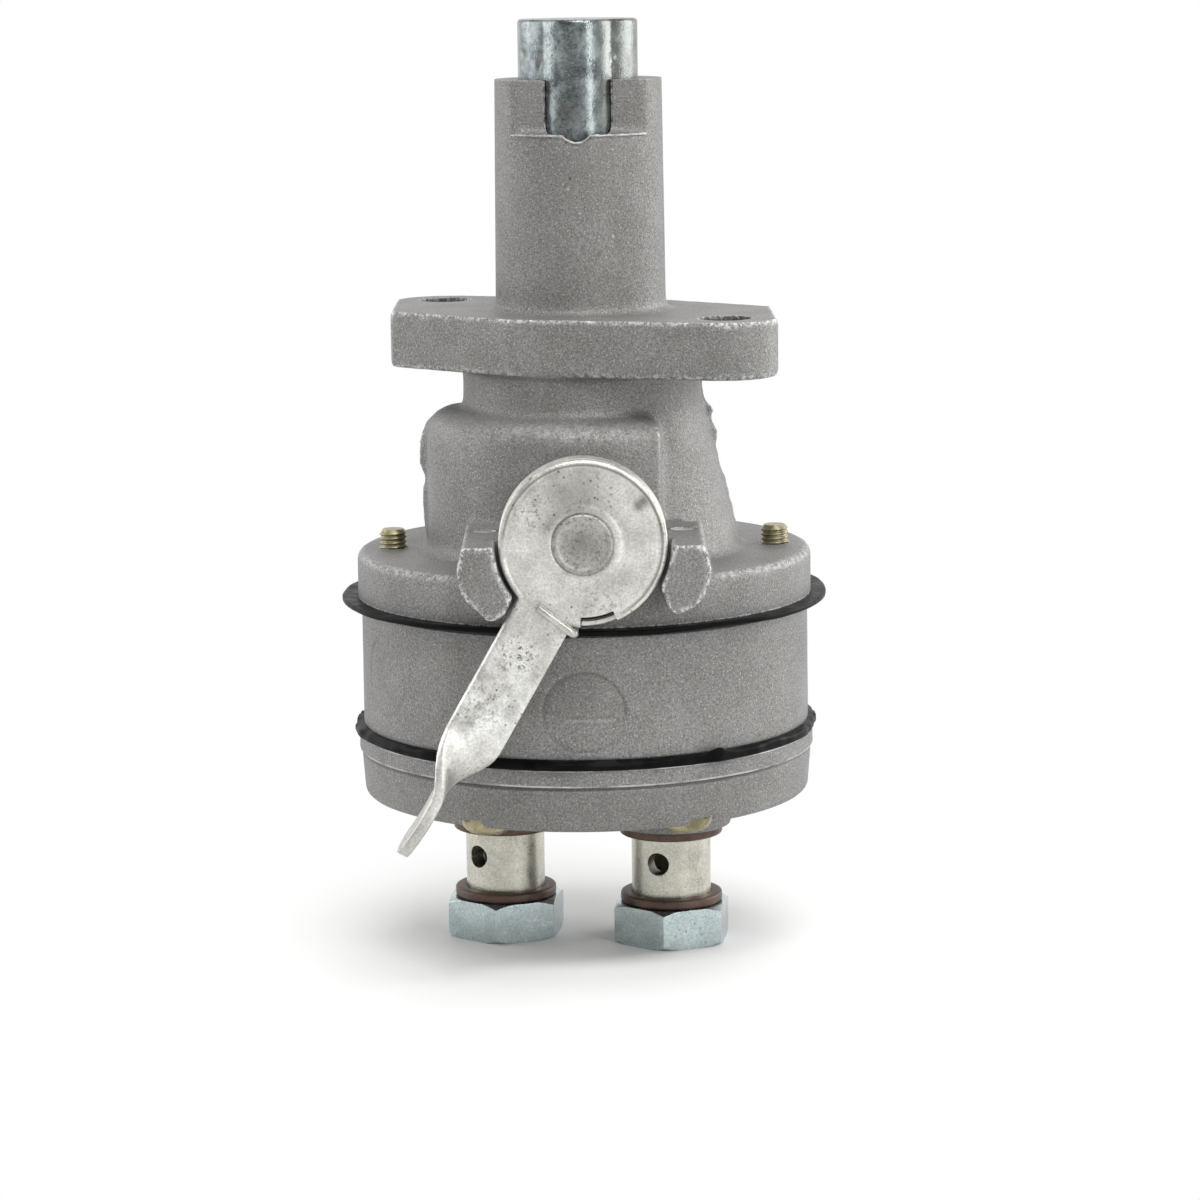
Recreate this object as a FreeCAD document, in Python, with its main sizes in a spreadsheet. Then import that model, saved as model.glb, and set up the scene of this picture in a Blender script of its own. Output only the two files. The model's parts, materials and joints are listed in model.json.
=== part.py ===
import FreeCAD, Part
import math
import os
import re
import Sketcher

# Diesel fuel lift pump, driven by a cam through a tappet, with a hand priming lever.
# Millimetres. The origin is the centre of the mounting flange's top face, +Z runs up the
# tappet tube and -Y is the front, where the priming lever sits.

V = FreeCAD.Vector
UP = V(0, 0, 1)
ACROSS = V(1, 0, 0)
FRONT = V(0, -1, 0)
BACK = V(0, 1, 0)

doc = FreeCAD.newDocument("fuel_lift_pump")
sheet = doc.addObject("Spreadsheet::Sheet", "Sizes")

# Driving sizes. Depths are measured down from the mounting face, reaches forward from the axis.
DRIVING = [
    ("past", 1.0, "how far a cutter runs past the face that it opens"),
    ("running_gap", 0.05, "radial play of a sliding fit"),
    ("seat_gap", 0.02, "radial play of a fitted piece"),
    ("travel", 4.0, "stroke of the tappet and push rod"),
    ("tube_rise", 39.8, "tappet tube above the mounting face"),
    ("tube_top_radius", 14.42, "tappet tube, outside, at its top"),
    ("tube_base_radius", 14.81, "tappet tube, outside, at the flange"),
    ("flat_reach", 9.0, "milled flat in front of the axis"),
    ("ledge_drop", 7.5, "height of the milled flat"),
    ("dip_radius", 3.5, "small round dip in the ledge"),
    ("dip_depth", 1.4, "small dip in the ledge"),
    ("bore_depth", 6.0, "floor of the tappet bore below the mounting face"),
    ("tappet_radius", 10.35, "tappet body"),
    ("tappet_length", 42.0, "tappet, end to end"),
    ("tappet_stand", 10.2, "tappet above the tube"),
    ("tappet_crown", 8.0, "solid top of the tappet"),
    ("tappet_wall", 1.5, "skirt of the tappet"),
    ("tappet_bevel", 0.5, "edge break of the tappet's crown"),
    ("rib_radius", 6.06, "round anti-rotation rib"),
    ("rib_reach", 6.34, "centre of the rib in front of the axis"),
    ("rib_length", 20.0, "rib from the crown down"),
    ("groove_gap", 0.14, "play of the rib in its groove"),
    ("flange_thickness", 9.0, "mounting flange"),
    ("flange_round", 1.0, "edge of the mounting flange"),
    ("bolt_circle", 64.0, "mounting holes, centre to centre"),
    ("bolt_hole_radius", 4.5, "mounting hole"),
    ("flange_lug_radius", 9.0, "lug round each mounting hole"),
    ("flange_half_width", 22.3, "mounting flange across its flats"),
    ("flange_far_corner", 24.6, "long end of each flat"),
    ("flange_near_corner", 2.6, "short end of each flat"),
    ("flange_turn", 40.4, "mounting holes turned forward from +X, degrees"),
    ("neck_radius", 21.0, "neck under the mounting flange"),
    ("neck_depth", 18.0, "foot of the neck"),
    ("cone_top_radius", 21.4, "cone of the housing, top"),
    ("cone_foot_radius", 27.8, "cone of the housing, foot"),
    ("block_radius", 27.3, "block that carries the primer shaft"),
    ("block_rise", 17.3, "top of the block above the priming shaft"),
    ("block_right", 12.8, "right-hand crease of the block"),
    ("block_back", 9.0, "rear end of the block"),
    ("block_round", 4.0, "top edge of the block"),
    ("base_depth", 41.6, "top of the base flange"),
    ("base_radius", 39.8, "base flange"),
    ("base_thickness", 8.0, "base flange"),
    ("base_round", 1.5, "top edge of the base flange"),
    ("roof_rise", 12.3, "roof of the rod chamber above the priming shaft"),
    ("roof_radius", 15.5, "rod chamber at its roof"),
    ("shoulder_radius", 23.0, "rod chamber at the base flange"),
    ("chamber_radius", 28.0, "rod chamber at the diaphragm"),
    ("rod_radius", 3.0, "push rod in its guide"),
    ("rod_waist_radius", 4.0, "push rod in the chamber"),
    ("rod_top_rise", 14.0, "top of the push rod above the mounting face"),
    ("rod_collar_radius", 7.5, "collar that the primer presses"),
    ("rod_collar_thickness", 2.0, "collar that the primer presses"),
    ("lift_gap", 0.3, "play left where a moving piece comes to a stop"),
    ("seal_radius", 6.5, "rod seal pocket"),
    ("seal_depth", 5.0, "rod seal pocket below the bore floor"),
    ("spring_seat_rise", 10.0, "spring seat's underside above the mounting face"),
    ("spring_seat_thickness", 2.0, "spring seat"),
    ("spring_seat_radius", 8.5, "spring seat"),
    ("clip_thickness", 0.8, "clip over the spring seat"),
    ("clip_radius", 4.6, "clip over the spring seat"),
    ("clip_groove_radius", 2.4, "groove for the clip"),
    ("clip_opening", 2.0, "open side of the clip"),
    ("pressure_wire", 1.6, "wire of the pressure spring"),
    ("pressure_coil_radius", 7.2, "pressure spring, mean"),
    ("pressure_turns", 7, "turns of the pressure spring"),
    ("return_wire", 1.2, "wire of the return spring"),
    ("return_coil_radius", 7.5, "return spring, mean"),
    ("return_turns", 5, "turns of the return spring"),
    ("plate_lip", 1.0, "edge of a diaphragm plate, turned away from the rubber"),
    ("upper_plate_radius", 22.0, "upper diaphragm plate"),
    ("upper_plate_thickness", 2.0, "upper diaphragm plate"),
    ("lower_plate_radius", 20.5, "lower diaphragm plate"),
    ("lower_plate_thickness", 1.8, "lower diaphragm plate"),
    ("rod_nut_flats", 10.0, "nut under the diaphragm"),
    ("rod_nut_height", 4.0, "nut under the diaphragm"),
    ("rod_end", 1.0, "push rod past its nut"),
    ("diaphragm_radius", 42.5, "diaphragm"),
    ("diaphragm_thickness", 1.3, "diaphragm"),
    ("body_radius", 39.9, "valve body at its top"),
    ("body_foot_radius", 39.6, "valve body at its foot"),
    ("body_height", 21.1, "valve body"),
    ("body_recess", 9.1, "depth of the pump chamber in the valve body"),
    ("nut_pocket_radius", 6.6, "pocket under the rod's nut"),
    ("nut_pocket_depth", 3.2, "pocket under the rod's nut"),
    ("mark_radius", 7.0, "round mark on the valve body"),
    ("mark_drop", 12.8, "round mark below the valve body's top"),
    ("mark_groove", 0.3, "width and depth of the mark's line"),
    ("gasket_radius", 40.4, "cover gasket"),
    ("gasket_thickness", 1.8, "cover gasket"),
    ("cover_radius", 40.0, "bottom cover, upper rim"),
    ("cover_rim_height", 3.4, "bottom cover, upper rim"),
    ("cover_step", 0.4, "slope under the cover's rim"),
    ("cover_side_radius", 39.6, "bottom cover under the rim"),
    ("cover_foot_radius", 39.1, "bottom cover at its foot"),
    ("cover_height", 10.5, "bottom cover"),
    ("cover_round", 1.4, "foot edge of the bottom cover"),
    ("cavity_radius", 26.0, "fuel galleries in the bottom cover"),
    ("cavity_depth", 6.0, "fuel galleries in the bottom cover"),
    ("cavity_rib", 5.0, "wall between the galleries"),
    ("port_circle", 30.2, "ports, centre to centre"),
    ("port_turn", 11.8, "ports turned forward from +X, degrees"),
    ("port_radius", 10.6, "port boss"),
    ("port_height", 6.7, "port boss below the cover"),
    ("port_thread_radius", 7.0, "port thread"),
    ("washer_radius", 9.0, "sealing washer"),
    ("washer_thickness", 1.7, "sealing washer"),
    ("shank_bare", 10.6, "banjo shank between its washers"),
    ("shank_entry", 10.5, "banjo thread inside the port"),
    ("shank_lead", 1.0, "bevel at the banjo bolt's tip"),
    ("shank_bore_end", 1.5, "fuel passage past the cross holes"),
    ("shank_bore_radius", 4.0, "fuel passage up the banjo bolt"),
    ("cross_hole_radius", 2.0, "cross hole of the banjo bolt"),
    ("cross_hole_drop", 4.5, "cross hole below the upper washer"),
    ("inlet_cross_turn", 43.0, "inlet bolt's cross hole, turned left from the front, degrees"),
    ("outlet_cross_turn", 21.0, "outlet bolt's cross hole, turned left from the front, degrees"),
    ("hex_flats", 19.0, "banjo bolt head"),
    ("hex_height", 7.0, "banjo bolt head"),
    ("hex_bevel", 0.9, "bevel of the head's corners"),
    ("hex_slope", 31.0, "slope of that bevel, degrees"),
    ("hex_turn", 8.5, "banjo head's corner turned left from the front, degrees"),
    ("screw_circle", 67.0, "cover screws"),
    ("screw_radius", 2.5, "cover screw"),
    ("screw_length", 45.0, "cover screw under its head"),
    ("screw_head_radius", 4.5, "cover screw head"),
    ("screw_head_height", 3.6, "cover screw head"),
    ("screw_dome", 1.2, "crown of a screw head"),
    ("screw_lead", 0.6, "bevel at the tip of a screw"),
    ("screw_slot_width", 1.1, "driving slot"),
    ("screw_slot_depth", 1.2, "driving slot"),
    ("screw_hole_radius", 2.75, "clearance hole"),
    ("screw_seat_radius", 6.0, "spot face under a screw head"),
    ("screw_seat_depth", 1.0, "spot face under a screw head"),
    ("ear_drill_radius", 2.1, "drill hole at the top of each ear"),
    ("tap_runout", 0.8, "tapped hole past the tip of a front screw"),
    ("ear_rise", 0.9, "top of the ears above the priming shaft"),
    ("ear_overhang", 3.0, "front of the ears in front of the lever's back"),
    ("ear_back", 20.0, "where the ears meet the cone"),
    ("ear_room", 6.5, "length of the ears cut back behind the lever"),
    ("ear_inner_radius", 14.5, "ears, round the lever's disc"),
    ("ear_outer", 20.9, "outer side of the ears"),
    ("ear_drop", 11.6, "lowest point of the ears below the priming shaft"),
    ("ear_bottom_reach", 15.8, "lowest point of the ears, from the middle"),
    ("ear_swell", 0.4, "bulge of an ear's side"),
    ("ear_swell_share", 0.45, "height of the bulge, as a share of the ear"),
    ("ear_flank", 1.1, "an ear's side drawn in below the bulge"),
    ("ear_flank_share", 0.8, "height of that point, as a share of the ear"),
    ("ear_heel", 3.8, "inner side of an ear above its lowest point"),
    ("shaft_rise", 7.3, "priming shaft above the base flange"),
    ("shaft_radius", 5.0, "priming shaft"),
    ("shaft_inner_reach", 8.5, "inner end of the priming shaft"),
    ("boss_radius", 9.5, "boss of the priming shaft"),
    ("boss_gap", 1.0, "boss behind the spring cup's floor"),
    ("inner_boss_radius", 9.0, "inner boss of the priming shaft"),
    ("inner_boss_reach", 20.3, "inner boss of the priming shaft"),
    ("pin_radius", 1.5, "eccentric pin of the priming shaft"),
    ("pin_offset", 3.2, "eccentric pin off the shaft's axis"),
    ("pin_length", 3.6, "eccentric pin"),
    ("pin_turn", 60.5, "eccentric pin at rest, turned left from the top, degrees"),
    ("ring_wire", 1.3, "o-ring section"),
    ("ring_groove", 1.56, "width of the o-ring groove"),
    ("ring_reach", 30.0, "o-ring groove"),
    ("circlip_thickness", 0.9, "circlip"),
    ("circlip_radius", 7.2, "circlip"),
    ("circlip_groove_radius", 4.2, "groove for the circlip"),
    ("circlip_opening", 3.0, "open side of the circlip"),
    ("circlip_room_gap", 0.8, "room round the circlip"),
    ("sheet_thickness", 2.0, "lever sheet"),
    ("lever_gap", 5.2, "back of the lever's disc in front of the base flange"),
    ("disc_radius", 13.9, "lever's disc"),
    ("disc_round", 0.7, "front edge of the disc"),
    ("rivet_radius", 5.3, "riveted end of the shaft"),
    ("rivet_height", 0.8, "riveted end of the shaft"),
    ("rivet_bevel", 0.3, "edges of the riveted end"),
    ("rivet_rim", 1.2, "raised rim of the riveted end"),
    ("rivet_sink", 0.35, "hollow face of the riveted end"),
    ("rivet_neck_radius", 3.8, "shaft through the lever's disc"),
    ("notch_depth", 1.6, "notch for the spring's hook in the disc's edge"),
    ("notch_width", 4.5, "notch for the spring's hook"),
    ("notch_length", 6.0, "notch for the spring's hook, along the arm"),
    ("arm_width", 10.0, "lever's arm"),
    ("arm_turn", 29.6, "lever's arm at rest, turned left from straight down, degrees"),
    ("arm_flat_end", 36.0, "start of the arm's twist"),
    ("arm_twist_end", 48.0, "end of the arm's twist"),
    ("arm_end", 61.8, "end of the arm"),
    ("arm_end_round", 4.0, "corners of the thumb tab"),
    ("lever_swing", 59.0, "priming stroke, degrees"),
    ("cup_wall", 0.8, "spring cup"),
    ("cup_depth", 4.0, "spring cup"),
    ("cup_slot", 2.2, "slot in the spring cup for the hook"),
    ("cup_slot_depth", 3.0, "slot in the spring cup, inward"),
    ("torsion_wire", 1.5, "wire of the lever spring"),
    ("torsion_coil_radius", 11.3, "lever spring, mean"),
    ("torsion_anchor", 2.5, "leg of the lever spring inside the block"),
    ("anchor_gap", 0.15, "play round that leg"),
    ("hook_radius", 14.9, "hook of the lever spring from the shaft"),
    ("hook_length", 8.4, "hook of the lever spring across the arm"),
    ("hook_bend", 0.8, "bends of the hook"),
    ("hook_gap", 0.15, "play between the hook's leg and the arm"),
    ("valve_reach", 16.5, "valves from the middle"),
    ("valve_pocket_radius", 7.5, "valve pocket"),
    ("valve_pocket_depth", 7.0, "valve pocket"),
    ("valve_bore_radius", 4.6, "passage behind the valve"),
    ("valve_seat_bore", 4.4, "valve seat"),
    ("valve_seat_height", 1.8, "valve seat"),
    ("valve_lip_width", 0.8, "sealing lip of the seat"),
    ("valve_lip_height", 0.4, "sealing lip of the seat"),
    ("valve_disc_radius", 6.2, "valve disc"),
    ("valve_disc_thickness", 1.0, "valve disc"),
    ("valve_cage_height", 4.4, "valve cage on its seat"),
    ("valve_cage_wall", 0.8, "valve cage"),
    ("valve_cage_hole", 1.4, "flow holes of the valve cage"),
    ("valve_wire", 0.5, "wire of the valve spring"),
    ("valve_coil_radius", 3.0, "valve spring, mean"),
    ("valve_turns", 3, "turns of a valve spring"),
]

# Levels and places worked out from the driving sizes.
DERIVED = [
    ("bore_radius", "tappet_radius + running_gap"),
    ("tappet_top", "tube_rise + tappet_stand"),
    ("tappet_foot", "tappet_top - tappet_length"),
    ("crown_under", "tappet_top - tappet_crown"),
    ("rib_foot", "tappet_top - rib_length"),
    ("ledge", "tube_rise - ledge_drop"),
    ("groove_foot", "rib_foot - travel - lift_gap"),
    ("flange_under", "-flange_thickness"),
    ("base_top", "-base_depth"),
    ("base_under", "base_top - base_thickness"),
    ("shaft_level", "base_top + shaft_rise"),
    ("block_top", "shaft_level + block_rise"),
    ("roof", "shaft_level + roof_rise"),
    ("ear_top", "shaft_level + ear_rise"),
    ("ear_bottom", "shaft_level - ear_drop"),
    ("lever_reach", "base_radius + lever_gap"),
    ("ear_reach", "lever_reach + ear_overhang"),
    ("ear_step", "lever_reach - ear_room"),
    ("diaphragm_under", "base_under - diaphragm_thickness"),
    ("chamber_floor", "diaphragm_under - body_recess"),
    ("body_under", "diaphragm_under - body_height"),
    ("gasket_under", "body_under - gasket_thickness"),
    ("rim_under", "gasket_under - cover_rim_height"),
    ("cavity_floor", "gasket_under - cavity_depth"),
    ("cover_under", "gasket_under - cover_height"),
    ("screw_seat", "cover_under + screw_seat_depth"),
    ("screw_tip", "screw_seat + screw_length"),
    ("ear_tap_end", "screw_tip + tap_runout"),
    ("screw_tap_radius", "screw_radius + seat_gap"),
    ("port_under", "cover_under - port_height"),
    ("upper_washer_under", "port_under - washer_thickness"),
    ("lower_washer_top", "upper_washer_under - shank_bare"),
    ("head_top", "lower_washer_top - washer_thickness"),
    ("head_under", "head_top - hex_height"),
    ("pin_low", "shaft_level - pin_offset * cos(180 - pin_turn - lever_swing) - pin_radius"),
    ("collar_top", "pin_low - lift_gap"),
    ("collar_under", "collar_top - rod_collar_thickness"),
    ("plate_top", "base_under + upper_plate_thickness"),
    ("lower_plate_under", "diaphragm_under - lower_plate_thickness"),
    ("rod_nut_under", "lower_plate_under - rod_nut_height"),
    ("rod_foot", "rod_nut_under - rod_end"),
    ("lever_front", "lever_reach + sheet_thickness"),
    ("boss_reach", "lever_reach - cup_wall - boss_gap"),
    ("screw_spread", "screw_circle / 2"),
    ("port_spread", "port_circle / 2"),
    ("seat_top", "spring_seat_rise + spring_seat_thickness"),
    ("inlet_shoulder", "chamber_floor - valve_pocket_depth"),
    ("outlet_shoulder", "body_under + valve_pocket_depth"),
]

NAMES = [row[0] for row in DRIVING] + [row[0] for row in DERIVED]


def bound(text):
    """A sum of size names, written as the document's expressions want it."""
    words = re.split(r"([a-z_]+)", text)
    return "".join("Sizes." + word if word in NAMES else word for word in words)


for row, (name, value, note) in enumerate(DRIVING, start=1):
    sheet.set("A%d" % row, note)
    sheet.set("B%d" % row, str(value))
    sheet.setAlias("B%d" % row, name)
for row, (name, formula) in enumerate(DERIVED, start=len(DRIVING) + 1):
    sheet.set("B%d" % row, "=" + formula)
    sheet.setAlias("B%d" % row, name)
doc.recompute()


def size(name):
    """One value of the sheet."""
    return float(sheet.get(name))


def place(thing, x="0", y="0", z="0"):
    """Bind where a primitive stands to the sheet."""
    for letter, text in (("x", x), ("y", y), ("z", z)):
        thing.setExpression("Placement.Base." + letter, bound(text))


def cylinder(name, radius, low, high, x="0", y="0"):
    """An upright cylinder between two levels."""
    thing = doc.addObject("Part::Cylinder", name)
    thing.setExpression("Radius", bound(radius))
    thing.setExpression("Height", bound("(%s) - (%s)" % (high, low)))
    place(thing, x, y, low)
    return thing


def front_cylinder(name, radius, near, far, z, x="0"):
    """A cylinder that runs forward, from one reach to a longer one."""
    thing = doc.addObject("Part::Cylinder", name)
    thing.Placement.Rotation = FreeCAD.Rotation(ACROSS, 90)
    thing.setExpression("Radius", bound(radius))
    thing.setExpression("Height", bound("(%s) - (%s)" % (far, near)))
    place(thing, x, "-(%s)" % near, z)
    return thing


def cone(name, low_radius, high_radius, low, high):
    """An upright cone between two levels."""
    thing = doc.addObject("Part::Cone", name)
    thing.setExpression("Radius1", bound(low_radius))
    thing.setExpression("Radius2", bound(high_radius))
    thing.setExpression("Height", bound("(%s) - (%s)" % (high, low)))
    place(thing, "0", "0", low)
    return thing


def box(name, x, y, z):
    """A box; each of x, y and z is its low and its high side."""
    thing = doc.addObject("Part::Box", name)
    for side, (low, high) in (("Length", x), ("Width", y), ("Height", z)):
        thing.setExpression(side, bound("(%s) - (%s)" % (high, low)))
    place(thing, x[0], y[0], z[0])
    return thing


def joined(name, *things):
    """Several objects fused into one."""
    thing = doc.addObject("Part::MultiFuse", name)
    thing.Shapes = list(things)
    thing.Refine = True
    return thing


def shared(name, *things):
    """What several objects have in common."""
    thing = doc.addObject("Part::MultiCommon", name)
    thing.Shapes = list(things)
    return thing


def cut(name, base, *tools):
    """An object with others taken out of it."""
    thing = doc.addObject("Part::Cut", name)
    thing.Base = base
    thing.Tool = joined(name + "_tools", *tools) if len(tools) > 1 else tools[0]
    thing.Refine = True
    return thing


def made(name, shape):
    """A shape computed from the sheet's values, as an object of the document."""
    thing = doc.addObject("Part::Feature", name)
    thing.Shape = shape
    return thing


def turned(name, outline):
    """A body turned about +Z from corners of (radius, level), each bound to the sheet."""
    body = doc.addObject("PartDesign::Body", name)
    sketch = body.newObject("Sketcher::SketchObject", name + "_outline")
    plane = [part for part in body.Origin.OriginFeatures if part.Role == "XZ_Plane"][0]
    sketch.AttachmentSupport = [(plane, "")]
    sketch.MapMode = "FlatFace"
    count = len(outline)
    corners = [V(20 + 10 * math.cos(2 * math.pi * k / count), 10 * math.sin(2 * math.pi * k / count), 0)
               for k in range(count)]
    for k in range(count):
        sketch.addGeometry(Part.LineSegment(corners[k], corners[(k + 1) % count]), False)
    for k in range(count):
        sketch.addConstraint(Sketcher.Constraint("Coincident", k, 2, (k + 1) % count, 1))
    for k, (radius, level) in enumerate(outline):
        if radius == "0":
            sketch.addConstraint(Sketcher.Constraint("PointOnObject", k, 1, -2))
        else:
            rule = sketch.addConstraint(Sketcher.Constraint("DistanceX", k, 1, corners[k].x))
            sketch.setExpression("Constraints[%d]" % rule, bound(radius))
        rule = sketch.addConstraint(Sketcher.Constraint("DistanceY", k, 1, corners[k].y or 1.0))
        sketch.setExpression("Constraints[%d]" % rule, bound(level))
    turning = body.newObject("PartDesign::Revolution", name + "_turned")
    turning.Profile = sketch
    turning.ReferenceAxis = (sketch, ["V_Axis"])
    turning.Angle = 360
    sketch.Visibility = False
    return body


def coil(mean_radius, wire, turns, length, sides=6, per_turn=12):
    """An open coil about +Z from level 0, as rings of the wire's section joined by ruled faces."""
    wire_radius = wire / 2 / math.sqrt(math.sin(2 * math.pi / sides) * sides / (2 * math.pi))
    rings = []
    steps = int(round(turns * per_turn))
    for k in range(steps + 1):
        angle = 2 * math.pi * k / per_turn
        out = V(math.cos(angle), math.sin(angle), 0)
        centre = out * mean_radius + UP * (length * k / steps)
        ring = [centre + out * (wire_radius * math.cos(b)) + UP * (wire_radius * math.sin(b))
                for b in (2 * math.pi * j / sides for j in range(sides))]
        rings.append(Part.makePolygon(ring + [ring[0]]))
    return Part.makeLoft(rings, True, True, False)


def hexagon(flats, height, bore_radius, turn):
    """A hexagonal prism on level 0 with a bore, one corner turned from the front."""
    corner = flats / math.sqrt(3)
    points = []
    for k in range(7):
        angle = math.radians(-90 - turn + 60 * k)
        points.append(V(corner * math.cos(angle), corner * math.sin(angle), 0))
    prism = Part.Face(Part.makePolygon(points)).extrude(UP * height)
    if bore_radius:
        prism = prism.cut(Part.makeCylinder(bore_radius, height, V(0, 0, 0), UP))
    return prism


def round_edges(shape, radius, wanted):
    """Round each edge that the test picks."""
    return shape.makeFillet(radius, [edge for edge in shape.Edges if wanted(edge)])


def same_level(edge, level):
    """Whether an edge lies flat at a level."""
    extent = edge.BoundBox
    return extent.ZLength < 1e-6 and abs(extent.ZMin - level) < 1e-6


def screw_places():
    """The six cover screws."""
    spread = size("screw_spread")
    return [V(spread * math.cos(math.radians(60 * k)), spread * math.sin(math.radians(60 * k)), 0)
            for k in range(6)]


def port_places():
    """The inlet on the left and the outlet on the right."""
    turn = math.radians(size("port_turn"))
    right = V(math.cos(turn), -math.sin(turn), 0) * size("port_spread")
    return {"inlet": right * -1, "outlet": right}


def upright_holes(name, radius, low, high, places):
    """Equal upright holes between two levels, as one cutter."""
    cutters = [Part.makeCylinder(size(radius), high - low, spot + UP * low, UP) for spot in places]
    return made(name, Part.makeCompound(cutters))


def flange_outline():
    """The mounting flange: two flats, a lug round each bolt hole, straight sides between them."""
    half = size("flange_half_width")
    far, near = size("flange_far_corner"), size("flange_near_corner")
    hole, lug = size("bolt_circle") / 2, size("flange_lug_radius")
    turn = math.radians(-size("flange_turn"))
    along = V(math.cos(turn), math.sin(turn), 0)
    aside = V(math.sin(turn), -math.cos(turn), 0)

    def at(u, v):
        return along * u + aside * v

    def touch(corner_u, corner_v, side):
        """Where the line from a corner touches the lug."""
        du, dv = corner_u - hole, corner_v
        reach = math.hypot(du, dv)
        angle = math.atan2(dv, du) + side * math.acos(lug / reach)
        return hole + lug * math.cos(angle), lug * math.sin(angle)

    start = touch(near, half, -1)
    end = touch(far, -half, 1)
    edges = []
    for sign in (1, -1):
        first = at(sign * near, sign * half)
        lug_start = at(sign * start[0], sign * start[1])
        lug_top = at(sign * (hole + lug), 0)
        lug_end = at(sign * end[0], sign * end[1])
        corner = at(sign * far, sign * -half)
        following = at(sign * -near, sign * -half)
        edges.append(Part.makeLine(first, lug_start))
        edges.append(Part.Arc(lug_start, lug_top, lug_end).toShape())
        edges.append(Part.makeLine(lug_end, corner))
        edges.append(Part.makeLine(corner, following))
    return Part.Wire(Part.__sortEdges__(edges)), along * hole


def mounting_flange():
    """The flange's plate, with rounded edges, and its two holes' places."""
    thickness, edge_round = size("flange_thickness"), size("flange_round")
    wire, hole = flange_outline()
    plate = Part.Face(wire).extrude(UP * -thickness)
    plate = round_edges(plate, edge_round, lambda edge: same_level(edge, 0) or same_level(edge, -thickness))
    return plate, [hole, hole * -1]


def ear(side):
    """One of the two ears beside the lever, which take the front screws and stop the lever."""
    top, bottom = size("ear_top"), size("ear_bottom")
    outer, low_x = size("ear_outer"), size("ear_bottom_reach")
    inner = size("inner_boss_radius")
    span = top - bottom
    start = V(side * inner, 0, top)
    shoulder = V(side * outer, 0, top)
    swell = V(side * (outer + size("ear_swell")), 0, top - span * size("ear_swell_share"))
    flank = V(side * (outer - size("ear_flank")), 0, top - span * size("ear_flank_share"))
    low = V(side * low_x, 0, bottom)
    heel = V(side * inner, 0, bottom + size("ear_heel"))
    edges = [
        Part.makeLine(start, shoulder),
        Part.makeLine(shoulder, swell),
        Part.Arc(swell, flank, low).toShape(),
        Part.makeLine(low, heel),
        Part.makeLine(heel, start),
    ]
    back, front = size("ear_back"), size("ear_reach")
    solid = Part.Face(Part.Wire(edges)).extrude(FRONT * (front - back))
    solid.translate(FRONT * back)
    step = size("ear_step")
    room = Part.makeCylinder(size("ear_inner_radius"), front - step + size("past"),
                             V(0, -step, size("shaft_level")), FRONT)
    return solid.cut(room)


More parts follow.
